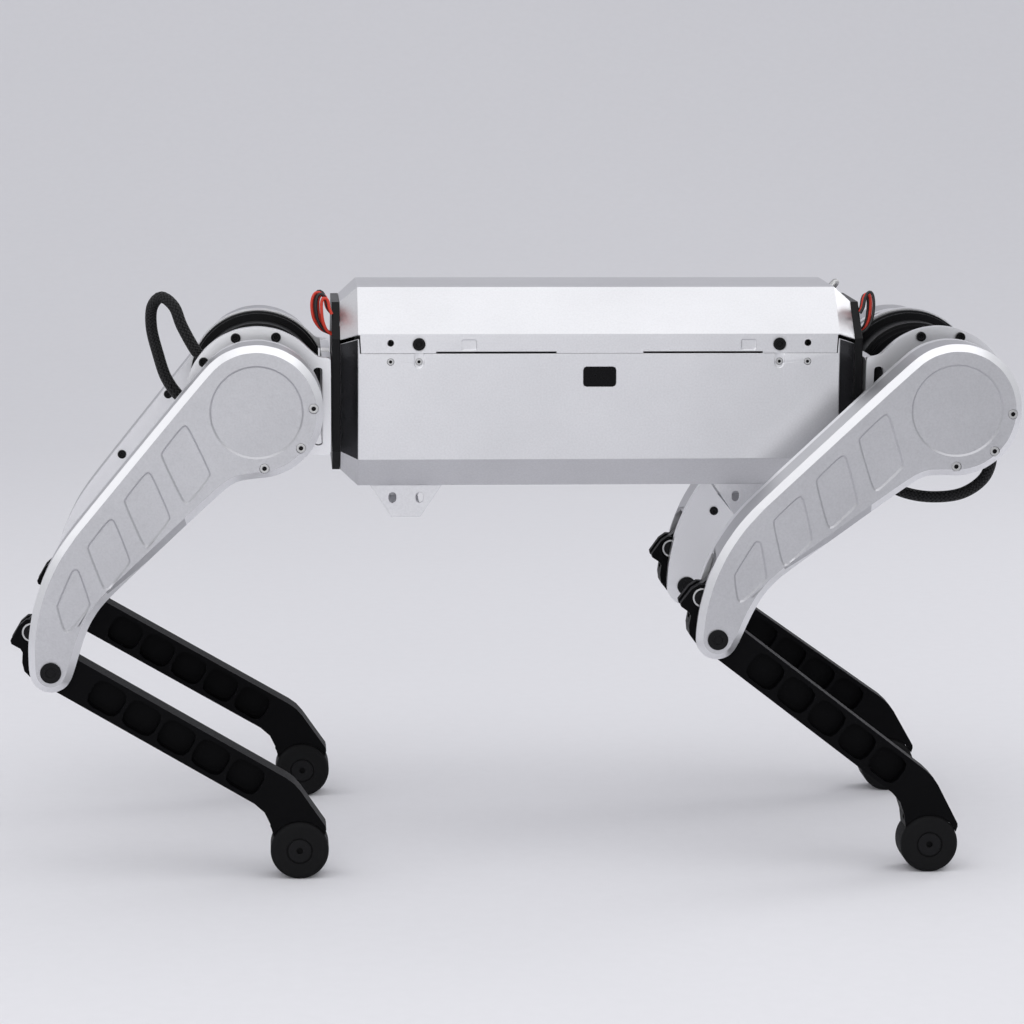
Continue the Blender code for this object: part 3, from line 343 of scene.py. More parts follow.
class Leg:
    """The places of a leg, read from the joints of the frame."""

    def __init__(self, name):
        self.name = name
        self.side = 1.0 if name[1] == "l" else -1.0
        self.outwards = Vector((0.0, self.side, 0.0))
        self.to_case = -1.0 if name[0] == "f" else 1.0
        self.hip = Vector(JOINTS[f"{name}_hip_pitch"]["pos_m"])
        self.knee = Vector(JOINTS[f"{name}_knee"]["pos_m"])

    def on_thigh(self, along, back, out):
        """A point by its distances from hip to knee, to the thigh's back and outwards."""
        down = Vector((self.knee.x - self.hip.x, 0.0, self.knee.z - self.hip.z)).normalized()
        behind = Vector((down.z, 0.0, -down.x))
        return self.hip + down * along + behind * back + self.outwards * out

    def on_hip(self, to_case, up, out):
        """A point by its distances from the hip to the case, upwards and outwards."""
        return self.hip + Vector((self.to_case * to_case, self.side * out, up))

    def reach(self, node):
        """How far outwards a node of the leg starts and ends."""
        ends = [self.side * (corner.y - self.hip.y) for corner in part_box(f"{self.name}_{node}")]
        return min(ends), max(ends)


# Helpers on pieces


def deselect():
    if bpy.context.object and bpy.context.object.mode != "OBJECT":
        bpy.ops.object.mode_set(mode="OBJECT")
    bpy.ops.object.select_all(action="DESELECT")


def activate(piece):
    deselect()
    piece.select_set(True)
    bpy.context.view_layer.objects.active = piece


def pick(piece, faces=None, edges=None):
    """Select, in edit mode, the faces or the edges that a test accepts."""
    bpy.ops.mesh.select_mode(type="FACE" if faces else "EDGE")
    bpy.ops.mesh.select_all(action="DESELECT")
    mesh = bmesh.from_edit_mesh(piece.data)
    mesh.normal_update()
    if faces:
        for face in mesh.faces:
            face.select_set(bool(faces(face)))
    else:
        for edge in mesh.edges:
            edge.select_set(bool(edges(edge)))
    mesh.select_flush_mode()
    bmesh.update_edit_mesh(piece.data)


def turn_between(low, high):
    """A test for the edges whose faces turn by an angle within the limits, in degrees."""

    def test(edge):
        if len(edge.link_faces) != 2:
            return False
        return math.radians(low) <= edge.calc_face_angle(0.0) <= math.radians(high)

    return test


def end_face(piece, direction):
    """A test for the flat faces of a piece that look a way and lie furthest that way."""
    mesh = bmesh.from_edit_mesh(piece.data)
    mesh.normal_update()

    def looks(face):
        return face.normal.dot(direction) > ALIKE

    far = max(face.calc_center_median().dot(direction) for face in mesh.faces if looks(face))
    return lambda face: looks(face) and face.calc_center_median().dot(direction) > far - TOUCHING


def step(piece, direction, inset, height, again=False):
    """Inset the end face of a piece, or the face last stepped, and raise it by a height or sink it."""
    if not again:
        pick(piece, faces=end_face(piece, direction))
    if inset:
        bpy.ops.mesh.inset(thickness=inset, depth=0.0)
    if height:
        move = {"value": direction * height}
        bpy.ops.mesh.extrude_region_move(TRANSFORM_OT_translate=move)


def steps(piece, direction, rows):
    """Step an end face by rows in millimetres. Once it is sunk, the steps go on inside the sunk face."""
    inside = False
    for inset, height in rows:
        step(piece, direction, inset * MM, height * MM, inside)
        inside = inside or height < 0


def started(name):
    """The shape just added, with its place in its own mesh and in edit mode."""
    piece = bpy.context.active_object
    piece.name = name
    bpy.ops.object.transform_apply(location=True, rotation=True, scale=True)
    bpy.ops.object.mode_set(mode="EDIT")
    return piece


def rod(name, radius, start, end, sides):
    """A cylinder from one point to another, left in edit mode."""
    deselect()
    axis = end - start
    bpy.ops.mesh.primitive_cylinder_add(
        vertices=sides,
        radius=radius,
        depth=axis.length,
        location=(start + end) / 2,
        rotation=axis.to_track_quat("Z", "Y").to_euler(),
    )
    return started(name)


def block(name, middle, size):
    """A box, left in edit mode."""
    deselect()
    bpy.ops.mesh.primitive_cube_add(size=1.0, location=middle)
    bpy.context.active_object.scale = size
    return started(name)


def hole(point, inwards, radius, depth, sides=HOLE_ROUND, proud=PROUD):
    """A round cutter that stands proud of a face and goes some way into it."""
    return rod("cutter", radius, point - inwards * proud, point + inwards * depth, sides)


def pocket(middle, size, corner, below, inwards, draft, fixed):
    """A cutter for a stamped pocket: a box with round corners that narrows inwards about a fixed point."""
    cutter = block("cutter", middle, size)
    round_corners(cutter, corner, below)
    pick(cutter, faces=end_face(cutter, inwards))
    bpy.ops.transform.resize(value=(draft[0], 1.0, draft[1]), center_override=fixed)
    return cutter


def round_corners(piece, radius, below):
    """Round the edges of a box that run across the robot and start below a height."""

    def test(edge):
        first, second = [vertex.co for vertex in edge.verts]
        return abs((second - first).normalized().y) > ALIKE and first.z < below

    pick(piece, edges=test)
    bpy.ops.mesh.bevel(offset=radius, segments=8, affect="EDGES", clamp_overlap=True)


def ease(piece, width, segments=2, turn=SHARP_TURN):
    """Round the sharp edges of a piece in edit mode."""
    pick(piece, edges=turn_between(turn, 180.0))
    bpy.ops.mesh.bevel(offset=width, segments=segments, affect="EDGES", clamp_overlap=True)


def shade(piece, smooth=SHARP_TURN):
    """Leave edit mode and shade the piece smooth, apart from its sharp edges and large flat faces."""
    activate(piece)
    bpy.ops.object.shade_smooth_by_angle(angle=math.radians(smooth))
    for face in piece.data.polygons:
        if face.area > LARGE_FACE:
            face.use_smooth = False
    modifier = piece.modifiers.new("Normals", "WEIGHTED_NORMAL")
    modifier.keep_sharp = True
    bpy.ops.object.modifier_apply(modifier=modifier.name)


def hand_over(piece, body, replaced=()):
    """Give a finished piece to a body of the frame."""
    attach(piece, body)
    if replaced:
        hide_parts(*replaced)
    return piece


def close(piece, material, body, smooth=SHARP_TURN, replaced=()):
    """Shade a piece of one material and hand it over."""
    shade(piece, smooth)
    piece.data.materials.clear()
    piece.data.materials.append(material)
    return hand_over(piece, body, replaced)


def stand_for(piece, node, material, smooth=SHARP_TURN):
    """Close a piece in the place of a solid, on the solid's body."""
    return close(piece, material, BODY_OF[node], smooth, [node])


def inlay(piece, material, chosen):
    """Give the faces that a test accepts a second finish."""
    piece.data.materials.append(material)
    for face in piece.data.polygons:
        if chosen(face):
            face.material_index = 1


def joined(pieces):
    """Several pieces made one."""
    deselect()
    for piece in pieces:
        piece.select_set(True)
    bpy.context.view_layer.objects.active = pieces[0]
    if len(pieces) > 1:
        bpy.ops.object.join()
    return bpy.context.active_object


def sunk(piece, cutters):
    """Cut a piece with cutters, which are used up."""
    cutter = joined(cutters)
    activate(piece)
    modifier = piece.modifiers.new("Holes", "BOOLEAN")
    modifier.operation = "DIFFERENCE"
    modifier.object = cutter
    bpy.ops.object.modifier_apply(modifier=modifier.name)
    drop(cutter)


def dressed(node, width, material, arcs=ARC_TURN, cutters=(), shaped=None):
    """A copy of a solid with its arcs made finer, holes cut and its edges rounded, which stands for it."""
    activate(frame["nodes"][node])
    bpy.ops.object.duplicate()
    piece = bpy.context.active_object
    piece.name = f"{node}_finish"
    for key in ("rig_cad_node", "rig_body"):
        del piece[key]
    piece.parent = None
    bpy.ops.mesh.customdata_custom_splitnormals_clear()
    bpy.ops.object.mode_set(mode="EDIT")
    bpy.ops.mesh.select_all(action="SELECT")
    bpy.ops.mesh.remove_doubles(threshold=MERGED)
    bpy.ops.mesh.dissolve_limited(angle_limit=math.radians(FLAT_TURN))
    if arcs:
        pick(piece, edges=turn_between(ARC_TURN_LEAST, arcs))
        bpy.ops.mesh.bevel(
            offset_type="PERCENT", offset_pct=33.0, segments=3, affect="EDGES", clamp_overlap=True
        )
    if shaped:
        shaped(piece)
    bpy.ops.object.mode_set(mode="OBJECT")
    modifier = piece.modifiers.new("Edges", "BEVEL")
    modifier.width = width
    modifier.segments = 2
    modifier.limit_method = "ANGLE"
    modifier.angle_limit = math.radians(BEVEL_TURN)
    bpy.ops.object.modifier_apply(modifier=modifier.name)
    for group in cutters:
        sunk(piece, group)
    return stand_for(piece, node, material, DRESSED_TURN)


def placed(pattern, name, point, direction):
    """A copy of a small piece modelled at the origin along +Z, with its place in its own mesh."""
    copy = pattern.copy()
    copy.data = pattern.data.copy()
    copy.name = name
    bpy.context.scene.collection.objects.link(copy)
    turn = direction.to_track_quat("Z", "Y").to_matrix().to_4x4()
    copy.data.transform(Matrix.Translation(point) @ turn)
    return copy


def set_of(pattern, name, places, body):
    """Copies of a small piece, joined into one piece on a body."""
    piece = joined([placed(pattern, f"{name}_{i}", *place) for i, place in enumerate(places)])
    piece.name = name
    shade(piece)
    return hand_over(piece, body)


def screw(name, radius, head, material):
    """A pattern of a screw's head round +Z, with a round socket whose inside is black as painted shade."""
    low, high, socket, depth, edge = head
    up = Vector((0.0, 0.0, 1.0))
    piece = rod(name, radius, up * low, up * high, HEAD_ROUND)
    step(piece, up, radius - socket, -depth)
    ease(piece, edge)
    deselect()
    piece.data.materials.append(material)

    def socket_painted_shade(face):
        inside = face.center.to_2d().length < socket + SAME_LEVEL
        return inside and low + SLIVER < face.center.z < high - depth / 4

    # The socket's inside gets black metal as painted shade in the deep hole
    inlay(piece, finish("black_anodised"), socket_painted_shade)
    return piece


def drop(piece):
    bpy.data.objects.remove(piece, do_unlink=True)


# Finishes


class Finish(NamedTuple):
    """A material: its colour among the settings, its roughness, and the grain and mottling of its surface."""

    colour: str
    smoothest: float
    roughest: float
    metallic: float
    grain: float
    mottle: float
    contrast: float
    bump: float
    depth: float = 0.05 * MM
    shine: float = 0.5


FINISHES = {
    "blasted_aluminium": Finish("aluminium", 0.3, 0.46, 0.92, 560.0, 9.0, 0.1, 0.4, 0.12 * MM),
    "blasted_sheet": Finish("sheet", 0.3, 0.44, 0.95, 520.0, 6.0, 0.09, 0.35, 0.12 * MM),
    # Lighter cut metal, in part a painted highlight where it lies on the thighs' chamfers
    "machined_edge": Finish("machined", 0.32, 0.4, 0.95, 900.0, 12.0, 0.04, 0.03, 0.02 * MM),
    # A dark copy of the sheet for the tapered ends, as a painted reflection
    "dark_fold": Finish("dark_fold", 0.26, 0.38, 0.9, 520.0, 6.0, 0.1, 0.3, 0.1 * MM),
    "black_anodised": Finish("black_metal", 0.3, 0.42, 0.2, 1300.0, 20.0, 0.2, 0.15, shine=0.16),
    "grey_housing": Finish("housing", 0.36, 0.48, 0.5, 1000.0, 18.0, 0.12, 0.2),
    "moulded_plastic": Finish("plastic", 0.4, 0.55, 0.0, 700.0, 25.0, 0.2, 0.5, 0.1 * MM, 0.05),
    "black_rubber": Finish("rubber", 0.6, 0.78, 0.0, 500.0, 30.0, 0.25, 0.6, 0.15 * MM, 0.15),
    "turned_steel": Finish("steel", 0.25, 0.4, 0.95, 1500.0, 40.0, 0.1, 0.1),
    "glossy_window": Finish("window", 0.1, 0.16, 0.0, 400.0, 8.0, 0.2, 0.03, shine=0.12),
    "red_insulation": Finish("red_wire", 0.35, 0.5, 0.0, 600.0, 60.0, 0.12, 0.1),
    "black_insulation": Finish("black_wire", 0.35, 0.5, 0.0, 600.0, 60.0, 0.2, 0.1),
    "studio_paper": Finish("backdrop", 0.85, 0.95, 0.0, 60.0, 0.6, 0.015, 0.02),
}


class Shader:
    """Adds and links the nodes of a material or of a node group."""

    def __init__(self, tree):
        self.tree = tree

    def plug(self, node, sockets):
        """Put plain values or links on a node's input sockets."""
        for key, value in sockets.items():
            if isinstance(value, bpy.types.NodeSocket):
                self.tree.links.new(value, node.inputs[key])
            else:
                node.inputs[key].default_value = value

    def node(self, kind, sockets, **values):
        made = self.tree.nodes.new(kind)
        for key, value in values.items():
            setattr(made, key, value)
        self.plug(made, sockets)
        return made

    def math(self, operation, *values):
        """The result of a Math node on sockets or plain numbers."""
        return self.node("ShaderNodeMath", dict(enumerate(values)), operation=operation).outputs[0]

    def mix(self, factor, first, second):
        """A colour between two, by a socket's value."""
        sockets = {"A": (*first, 1.0), "B": (*second, 1.0), "Factor": factor}
        return self.node("ShaderNodeMix", sockets, data_type="RGBA").outputs["Result"]

    def carry(self, value, start, end):
        """A socket's value carried over from one range to another."""
        limits = zip(("From Min", "From Max", "To Min", "To Max"), (*start, *end))
        return self.node("ShaderNodeMapRange", {"Value": value, **dict(limits)}).outputs["Result"]


def new_group(name, vector, numbers, results):
    """A node group's shader and its nodes for the inputs and the outputs."""
    group = bpy.data.node_groups.new(name, "ShaderNodeTree")
    group.interface.new_socket(vector, in_out="INPUT", socket_type="NodeSocketVector")
    for key, default in numbers.items():
        socket = group.interface.new_socket(key, in_out="INPUT", socket_type="NodeSocketFloat")
        socket.default_value = default
    for key in results:
        group.interface.new_socket(key, in_out="OUTPUT", socket_type="NodeSocketFloat")
    shader = Shader(group)
    return shader, shader.node("NodeGroupInput", {}).outputs, shader.node("NodeGroupOutput", {})


def surface_group():
    """Fine grain and specks for bump, and broad mottling for colour, from a place on the piece."""
    name = "Surface Grain"
    if name in bpy.data.node_groups:
        return bpy.data.node_groups[name]
    numbers = {"Grain Scale": 900.0, "Mottle Scale": 14.0}
    shader, inputs, outputs = new_group(name, "Vector", numbers, ("Grain", "Mottle", "Speck"))
    place, fine, broad = inputs["Vector"], inputs["Grain Scale"], inputs["Mottle Scale"]
    grain = shader.node("ShaderNodeTexNoise", {"Vector": place, "Scale": fine, "Detail": 3.0})
    sockets = {"Vector": place, "Scale": broad, "Detail": 5.0, "Roughness": 0.6}
    mottle = shader.node("ShaderNodeTexNoise", sockets)
    sockets = {"Vector": place, "Scale": shader.math("MULTIPLY", fine, 0.35)}
    speck = shader.node("ShaderNodeTexVoronoi", sockets).outputs["Distance"]
    shader.plug(outputs, {"Grain": grain.outputs[0], "Mottle": mottle.outputs[0], "Speck": speck})
    return shader.tree


def new_material(name, group, coordinate, vector):
    """A material, its shader, its main node and the node of the group that patterns it."""
    material = bpy.data.materials.new(name)
    material.use_nodes = True
    shader = Shader(material.node_tree)
    place = shader.node("ShaderNodeTexCoord", {}).outputs[coordinate]
    pattern = shader.node("ShaderNodeGroup", {}, node_tree=group)
    shader.plug(pattern, {vector: place})
    return material, shader, material.node_tree.nodes["Principled BSDF"], pattern


def finish(name):
    """A material with mottled colour, a fine grain, and roughness that varies with it."""
    if name in bpy.data.materials:
        return bpy.data.materials[name]
    look = FINISHES[name]
    base = getattr(bpy.context.scene.robot_colours, look.colour)
    material, shader, principled, pattern = new_material(name, surface_group(), "Object", "Vector")
    shader.plug(pattern, {"Grain Scale": look.grain, "Mottle Scale": look.mottle})
    grain, mottle, speck = pattern.outputs
    tints = [shader.carry(value, (0.3, 0.7), (0.0, 1.0)) for value in (mottle, grain)]
    blend = shader.math("MULTIPLY", shader.math("ADD", *tints), 0.5)
    dark = [channel * (1 - look.contrast) for channel in base]
    light = [min(1.0, channel * (1 + look.contrast)) for channel in base]
    height = shader.math("ADD", grain, speck)
    relief = {"Strength": look.bump, "Distance": look.depth, "Height": height}
    main = {
        "Base Color": shader.mix(blend, dark, light),
        "Metallic": look.metallic,
        "Roughness": shader.carry(grain, (0.25, 0.75), (look.smoothest, look.roughest)),
        "Specular IOR Level": look.shine,
        "Normal": shader.node("ShaderNodeBump", relief).outputs["Normal"],
    }
    shader.plug(principled, main)
    return material


def weave_group():
    """Two sets of threads that wind round a tube and cross over and under, from the tube's own UV map."""
    name = "Woven Sleeve"
    if name in bpy.data.node_groups:
        return bpy.data.node_groups[name]
    shader, inputs, outputs = new_group(name, "UV", {"Strands": 9.0, "Crossings": 90.0}, ("Height",))
    split = shader.node("ShaderNodeSeparateXYZ", {0: inputs["UV"]}).outputs
    around = shader.math("MULTIPLY", split["Y"], inputs["Strands"])
    along = shader.math("MULTIPLY", split["X"], inputs["Crossings"])
    lays = [shader.math(operation, around, along) for operation in ("ADD", "SUBTRACT")]
    cells = shader.math("ADD", *[shader.math("FLOOR", lay) for lay in lays])
    over = shader.math("FLOORED_MODULO", cells, 2.0)
    halves = [shader.math("MULTIPLY", shader.math("FRACT", lay), math.pi) for lay in lays]
    first = shader.math("MULTIPLY", shader.math("SINE", halves[0]), over)
    second = shader.math("MULTIPLY", shader.math("SINE", halves[1]), shader.math("SUBTRACT", 1.0, over))
    shader.plug(outputs, {"Height": shader.math("ADD", first, second)})
    return shader.tree


def braid(crossings):
    """Black woven sleeve, with a number of crossings along the whole cable."""
    base = bpy.context.scene.robot_colours.braid
    material, shader, principled, pattern = new_material("braided_sleeve", weave_group(), "UV", "UV")
    shader.plug(pattern, {"Crossings": crossings})
    height = pattern.outputs["Height"]
    relief = {"Distance": 1.2 * MM, "Height": height}
    main = {
        # The low parts between the threads are painted near black: painted shade in the weave's hollows
        "Base Color": shader.mix(height, [channel * 0.06 for channel in base], base),
        "Roughness": shader.carry(height, (0.0, 1.0), (0.8, 0.42)),
        "Specular IOR Level": 0.25,
        "Normal": shader.node("ShaderNodeBump", relief).outputs["Normal"],
    }
    shader.plug(principled, main)
    return material


# Cables and wires


def smooth_route(points, step):
    """Points about a step apart on a smooth curve through the route's own points."""
    route = [Vector(point) for point in points]
    fine = []
    for i in range(len(route) - 1):
        before = route[max(i - 1, 0)]
        start, end = route[i], route[i + 1]
        after = route[min(i + 2, len(route) - 1)]
        pieces = max(1, round((end - start).length / step))
        for piece in range(pieces):
            t = piece / pieces
            bend = (end - before) * t + (2 * before - 5 * start + 4 * end - after) * t * t
            fine.append(start + (bend + (3 * start - before - 3 * end + after) * t**3) / 2)
    return [*fine, route[-1]]


def route_length(route):
    return sum((second - first).length for first, second in zip(route, route[1:]))


def cord(name, route, diameter, material, body, replaced=()):
    """A round cable along a route, from the object and back into it."""
    curve = bpy.data.curves.new(name, "CURVE")
    curve.dimensions = "3D"
    curve.bevel_depth = diameter / 2
    curve.bevel_resolution = 6
    curve.use_fill_caps = True
    spline = curve.splines.new("POLY")
    spline.points.add(len(route) - 1)
    for point, place in zip(spline.points, route):
        point.co = (*place, 1.0)
    spline.use_smooth = True
    curve.materials.append(material)
    piece = bpy.data.objects.new(name, curve)
    bpy.context.scene.collection.objects.link(piece)
    hand_over(piece, body, replaced)


class ROBOT_OT_cables(bpy.types.Operator):
    """Lay the braided cable loops on the right hips and the motor wires at both ends of the case"""

    bl_idname = "robot.cables"
    bl_label = "Cables"

    def execute(self, context):
        for name, (leg, start, between, end) in CABLE_LOOPS.items():
            route = self.loop_route(Leg(leg), start, between, end)
            sleeve = braid(round(route_length(route) / BRAID_PITCH))
            cord(f"{name}_finish", route, CABLE_DIAMETER, sleeve, f"{leg}_hip", [name])
        diameter = context.scene.robot_sizes.wire_diameter
        for end, wires in WIRES.items():
            for i, (y, share, lift, insulation) in enumerate(wires):
                route = self.wire_route(end, y * MM, share, lift)
                name = f"{end}_motor_wire_{i}"
                cord(name, route, diameter, finish(insulation), "torso")
        return {"FINISHED"}

    def on_hip_motor(self, degrees, out, lift):
        """A point over the hip motor's round side, by the angle from straight ahead."""
        radius = half_height("rr_hip_motor") + CABLE_CLEARANCE + lift * MM
        x, z = on_circle(radius, [degrees])[0]
        return Vector((x, -out * MM, z))

    def loop_route(self, leg, start, between, end):
        """Straight out of the hip motor's side, round a loop, and straight back to it."""
        way_out = [self.on_hip_motor(*start[:2], lift) for lift in (0, start[2])]
        loop = [Vector(point) * MM for point in between]
        way_back = [self.on_hip_motor(*end[:2], lift) for lift in (end[2], 0)]
        return smooth_route([leg.hip + point for point in (*way_out, *loop, *way_back)], CABLE_STEP)

    def wire_route(self, end, y, share, lift):
        """An arch out of an end plate, over its top edge, and back into the plate lower down."""
        low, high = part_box(f"{end}_bulkhead")
        ahead = 1.0 if end == "front" else -1.0
        face = high.x if end == "front" else low.x
        rises = [(out * share, up * lift if up > 0 else up) for out, up in WIRE_ARCH]
        points = [(face + ahead * out * MM, y, high.z + up * MM) for out, up in rises]
        return smooth_route(points, WIRE_STEP)


# Operators on the case


def on_sides(places, rise):
    """Points on both sides of the case, from its middle and the seam under the lid, with the way outwards."""
    low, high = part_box("torso_tub")
    middle = (low.x + high.x) / 2
    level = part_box("torso_lid")[0].z + rise
    points = []
    for y, side in ((low.y, -1.0), (high.y, 1.0)):
        points += [(Vector((middle + x, y, level)), Vector((0.0, side, 0.0))) for x in places]
    return points


class ROBOT_OT_case(bpy.types.Operator):
    """Round the folds of the case, sink its holes, and dress its end plates and skids"""

    bl_idname = "robot.dress_case"
    bl_label = "Case"

    def execute(self, context):
        sizes = context.scene.robot_sizes
        sheet, black = finish("blasted_sheet"), finish("black_anodised")
        tub_cutters = (self.tongue_cutters(), self.tub_cutters(sizes))
        tub = dressed("torso_tub", sizes.sheet_edge, sheet, None, tub_cutters)
        # The tapered ends get the dark finish as a painted reflection of the dark surroundings
        inlay(tub, finish("dark_fold"), self.on_reflection_taper)
        dressed("torso_lid", sizes.sheet_edge, sheet, None, [self.lid_cutters(sizes)])
        for node in ("front_skid", "rear_skid"):
            dressed(node, sizes.milled_edge / 2, sheet, None)
        for node in ("front_bulkhead", "rear_bulkhead"):
            dressed(node, sizes.milled_edge, black)
        for node in ("battery_pack", "controller_box"):
            dressed(node, sizes.milled_edge, finish("grey_housing"), None)
        dressed("side_window", SMALL_EDGE, finish("glossy_window"))
        dressed("antenna", SMALL_EDGE, finish("turned_steel"), ANTENNA_ARC_TURN)
        self.bolts(sizes)
        return {"FINISHED"}

    def on_reflection_taper(self, face):
        """Whether a face is one of the large upright ones that draw the case in at its ends, which get a
        painted dark reflection.
        """
        least, most = TAPER_SLANT
        slanted = least < abs(face.normal.x) < most and least < abs(face.normal.y)
        return slanted and abs(face.normal.z) < TAPER_LEAN and face.area > LARGE_FACE

    def lid_cutters(self, sizes):
        """The round holes, the slots of the bolts and the stamped pockets of the lid's lip."""
        cutters = []
        for point, outwards in on_sides(LID_HOLES, LID_HOLE_RISE):
            cutters.append(hole(point, -outwards, LID_HOLE_RADIUS, LID_HOLE_DEPTH))
        for point, outwards in on_sides(LID_BOLTS, LID_BOLT_RISE + BOLT_SLOT_LIFT):
            radius = sizes.lid_bolt_radius + BOLT_SLOT_ROOM
            cutters.append(hole(point, -outwards, radius, BOLT_SLOT_DEPTH, HEAD_ROUND))
            bpy.ops.mesh.select_all(action="SELECT")
            bpy.ops.transform.resize(value=(1.0, 1.0, BOLT_SLOT_STRETCH), center_override=point)
        for point, outwards in on_sides(STAMPS, STAMP_RISE):
            cutters.append(pocket(point, STAMP_SIZE, STAMP_CORNER, math.inf, -outwards, STAMP_DRAFT, point))
        return cutters

    def tub_cutters(self, sizes):
        """The holes of the small screws under the seam."""
        cutters = []
        for point, outwards in on_sides((*LID_HOLES, *LID_BOLTS), -CASE_SCREW_DROP):
            cutters.append(hole(point, -outwards, sizes.case_screw_radius + SCREW_ROOM, CASE_SCREW_DEPTH))
        return cutters

    def tongue_cutters(self):
        """The stamped tongues that hang from the seam under the bolts."""
        cutters = []
        for top, outwards in on_sides(LID_BOLTS, 0.0):
            middle = top - Vector((0.0, 0.0, TONGUE_SIZE[2] / 2))
            cutters.append(pocket(middle, TONGUE_SIZE, TONGUE_CORNER, middle.z, -outwards, TONGUE_DRAFT, top))
        return cutters

    def bolts(self, sizes):
        """Black button bolts on the lid's lip, and small countersunk screws under it."""
        bolt = screw("bolt", sizes.lid_bolt_radius, LID_BOLT, finish("black_anodised"))
        small = screw("screw", sizes.case_screw_radius, CASE_SCREW, finish("turned_steel"))
        screws = on_sides(LID_HOLES, -CASE_SCREW_DROP)
        for point, outwards in on_sides(LID_BOLTS, -CASE_SCREW_DROP):
            screws.append((point - outwards * TONGUE_SCREW_DEPTH, outwards))
        set_of(bolt, "lid_bolts", on_sides(LID_BOLTS, LID_BOLT_RISE), "torso")
        set_of(small, "case_screws", screws, "torso")
        drop(bolt)
        drop(small)


class ROBOT_OT_legs(bpy.types.Operator):
    """Round the edges of the yokes, thighs, shins and knee drives, and screw them together"""

    bl_idname = "robot.dress_legs"
    bl_label = "Legs"

    def execute(self, context):
        sizes = context.scene.robot_sizes
        black, bright, cut = finish("black_anodised"), finish("turned_steel"), finish("machined_edge")
        flange_screw = screw("flange", sizes.socket_screw_radius, FLANGE_SCREW, black)
        boss_screw = screw("boss", sizes.screw_radius, BOSS_SCREW, bright)
        cover_screw = screw("cover", sizes.screw_radius, COVER_SCREW, black)
        for name in LEGS:
            leg = Leg(name)
            dressed(f"{name}_hip_yoke", sizes.milled_edge, cut)
            dressed(f"{name}_thigh_inner_shell", sizes.milled_edge, cut)
            self.outer_shell(leg, sizes)
            dressed(f"{name}_shin", sizes.moulded_edge, finish("moulded_plastic"), None)
            dressed(f"{name}_crank", sizes.milled_edge / 2, finish("grey_housing"))
            dressed(f"{name}_push_rod", sizes.milled_edge, black)
            hip, thigh = f"{name}_hip", f"{name}_thigh"
            set_of(flange_screw, f"{name}_flange_screws", self.flange_places(leg), hip)
            set_of(boss_screw, f"{name}_boss_screws", self.boss_places(leg), thigh)
            set_of(cover_screw, f"{name}_cover_screws", self.cover_places(leg), thigh)
        for pattern in (flange_screw, boss_screw, cover_screw):
            drop(pattern)
        return {"FINISHED"}

    def outer_shell(self, leg, sizes):
        """The thigh's outer half, with sloped recesses, screw holes and a chamfer of lighter cut metal that
        is in part a painted highlight.
        """
        radius = sizes.screw_radius + SCREW_ROOM
        holes = []
        for point, outwards in self.boss_places(leg):
            holes.append(hole(point, -outwards, radius, BOSS_SCREW_DEPTH, proud=2 * PROUD))
        level = leg.reach("thigh_outer_shell")[1] + leg.side * leg.hip.y

        def shaped(piece):
            self.slope_recesses(piece, leg.outwards, level)

        def on_highlight_chamfer(polygon):
            depth = level - polygon.center.dot(leg.outwards)
            slanted = CHAMFER_SLANT[0] < polygon.normal.dot(leg.outwards) < CHAMFER_SLANT[1]
            return slanted and CHAMFER_DEPTHS[0] < depth < CHAMFER_DEPTHS[1]

        node = f"{leg.name}_thigh_outer_shell"
        metal = finish("blasted_aluminium")
        piece = dressed(node, sizes.milled_edge, metal, cutters=[holes], shaped=shaped)
        # The chamfer gets the lighter metal: cut metal, and in part a painted highlight along the edges
        inlay(piece, finish("machined_edge"), on_highlight_chamfer)

    def slope_recesses(self, piece, outwards, level):
        """Turn the upright walls of the recesses in a face at a level into slopes."""
        depths = [
            level - polygon.center.dot(outwards)
            for polygon in piece.data.polygons
            if polygon.normal.dot(outwards) > ALIKE
        ]
        depth = min(depth for depth in depths if depth > SHALLOWEST)

        def on_floor(vertex):
            return abs(level - depth - vertex.co.dot(outwards)) < SAME_LEVEL

        def is_floor(polygon):
            return polygon.normal.dot(outwards) > ALIKE and all(map(on_floor, polygon.verts))

        def is_foot(edge):
            upright = any(abs(polygon.normal.dot(outwards)) < UPRIGHT for polygon in edge.link_faces)
            return upright and all(map(on_floor, edge.verts))

        pick(piece, faces=is_floor)
        bpy.ops.mesh.inset(thickness=RECESS_SLOPE, depth=0.0)
        pick(piece, edges=is_foot)
        bpy.ops.transform.translate(value=outwards * depth)
        bpy.ops.mesh.select_all(action="SELECT")
        bpy.ops.mesh.remove_doubles(threshold=2 * MERGED)

    def flange_places(self, leg):
        """Round the yoke's ring, apart from where its plate is."""
        out = leg.reach("hip_yoke")[1]
        turns = [FLANGE_SCREW_FIRST + i * FLANGE_SCREW_TURN for i in range(FLANGE_SCREWS)]
        return [(leg.on_hip(x, z, out), leg.outwards) for x, z in on_circle(FLANGE_SCREW_CIRCLE, turns)]

    def boss_places(self, leg):
        """Along the front edge of the thigh's boss."""
        out = leg.reach("thigh_outer_shell")[1]
        circle = on_circle(BOSS_SCREW_CIRCLE, BOSS_SCREW_TURNS)
        return [(leg.on_thigh(along, -front, out), leg.outwards) for along, front in circle]

    def cover_places(self, leg):
        """Near the back edge of the thigh's inner face and over the knee."""
        out = leg.reach("thigh_inner_shell")[0]
        return [(leg.on_thigh(along, back, out), -leg.outwards) for along, back in COVER_SCREWS]


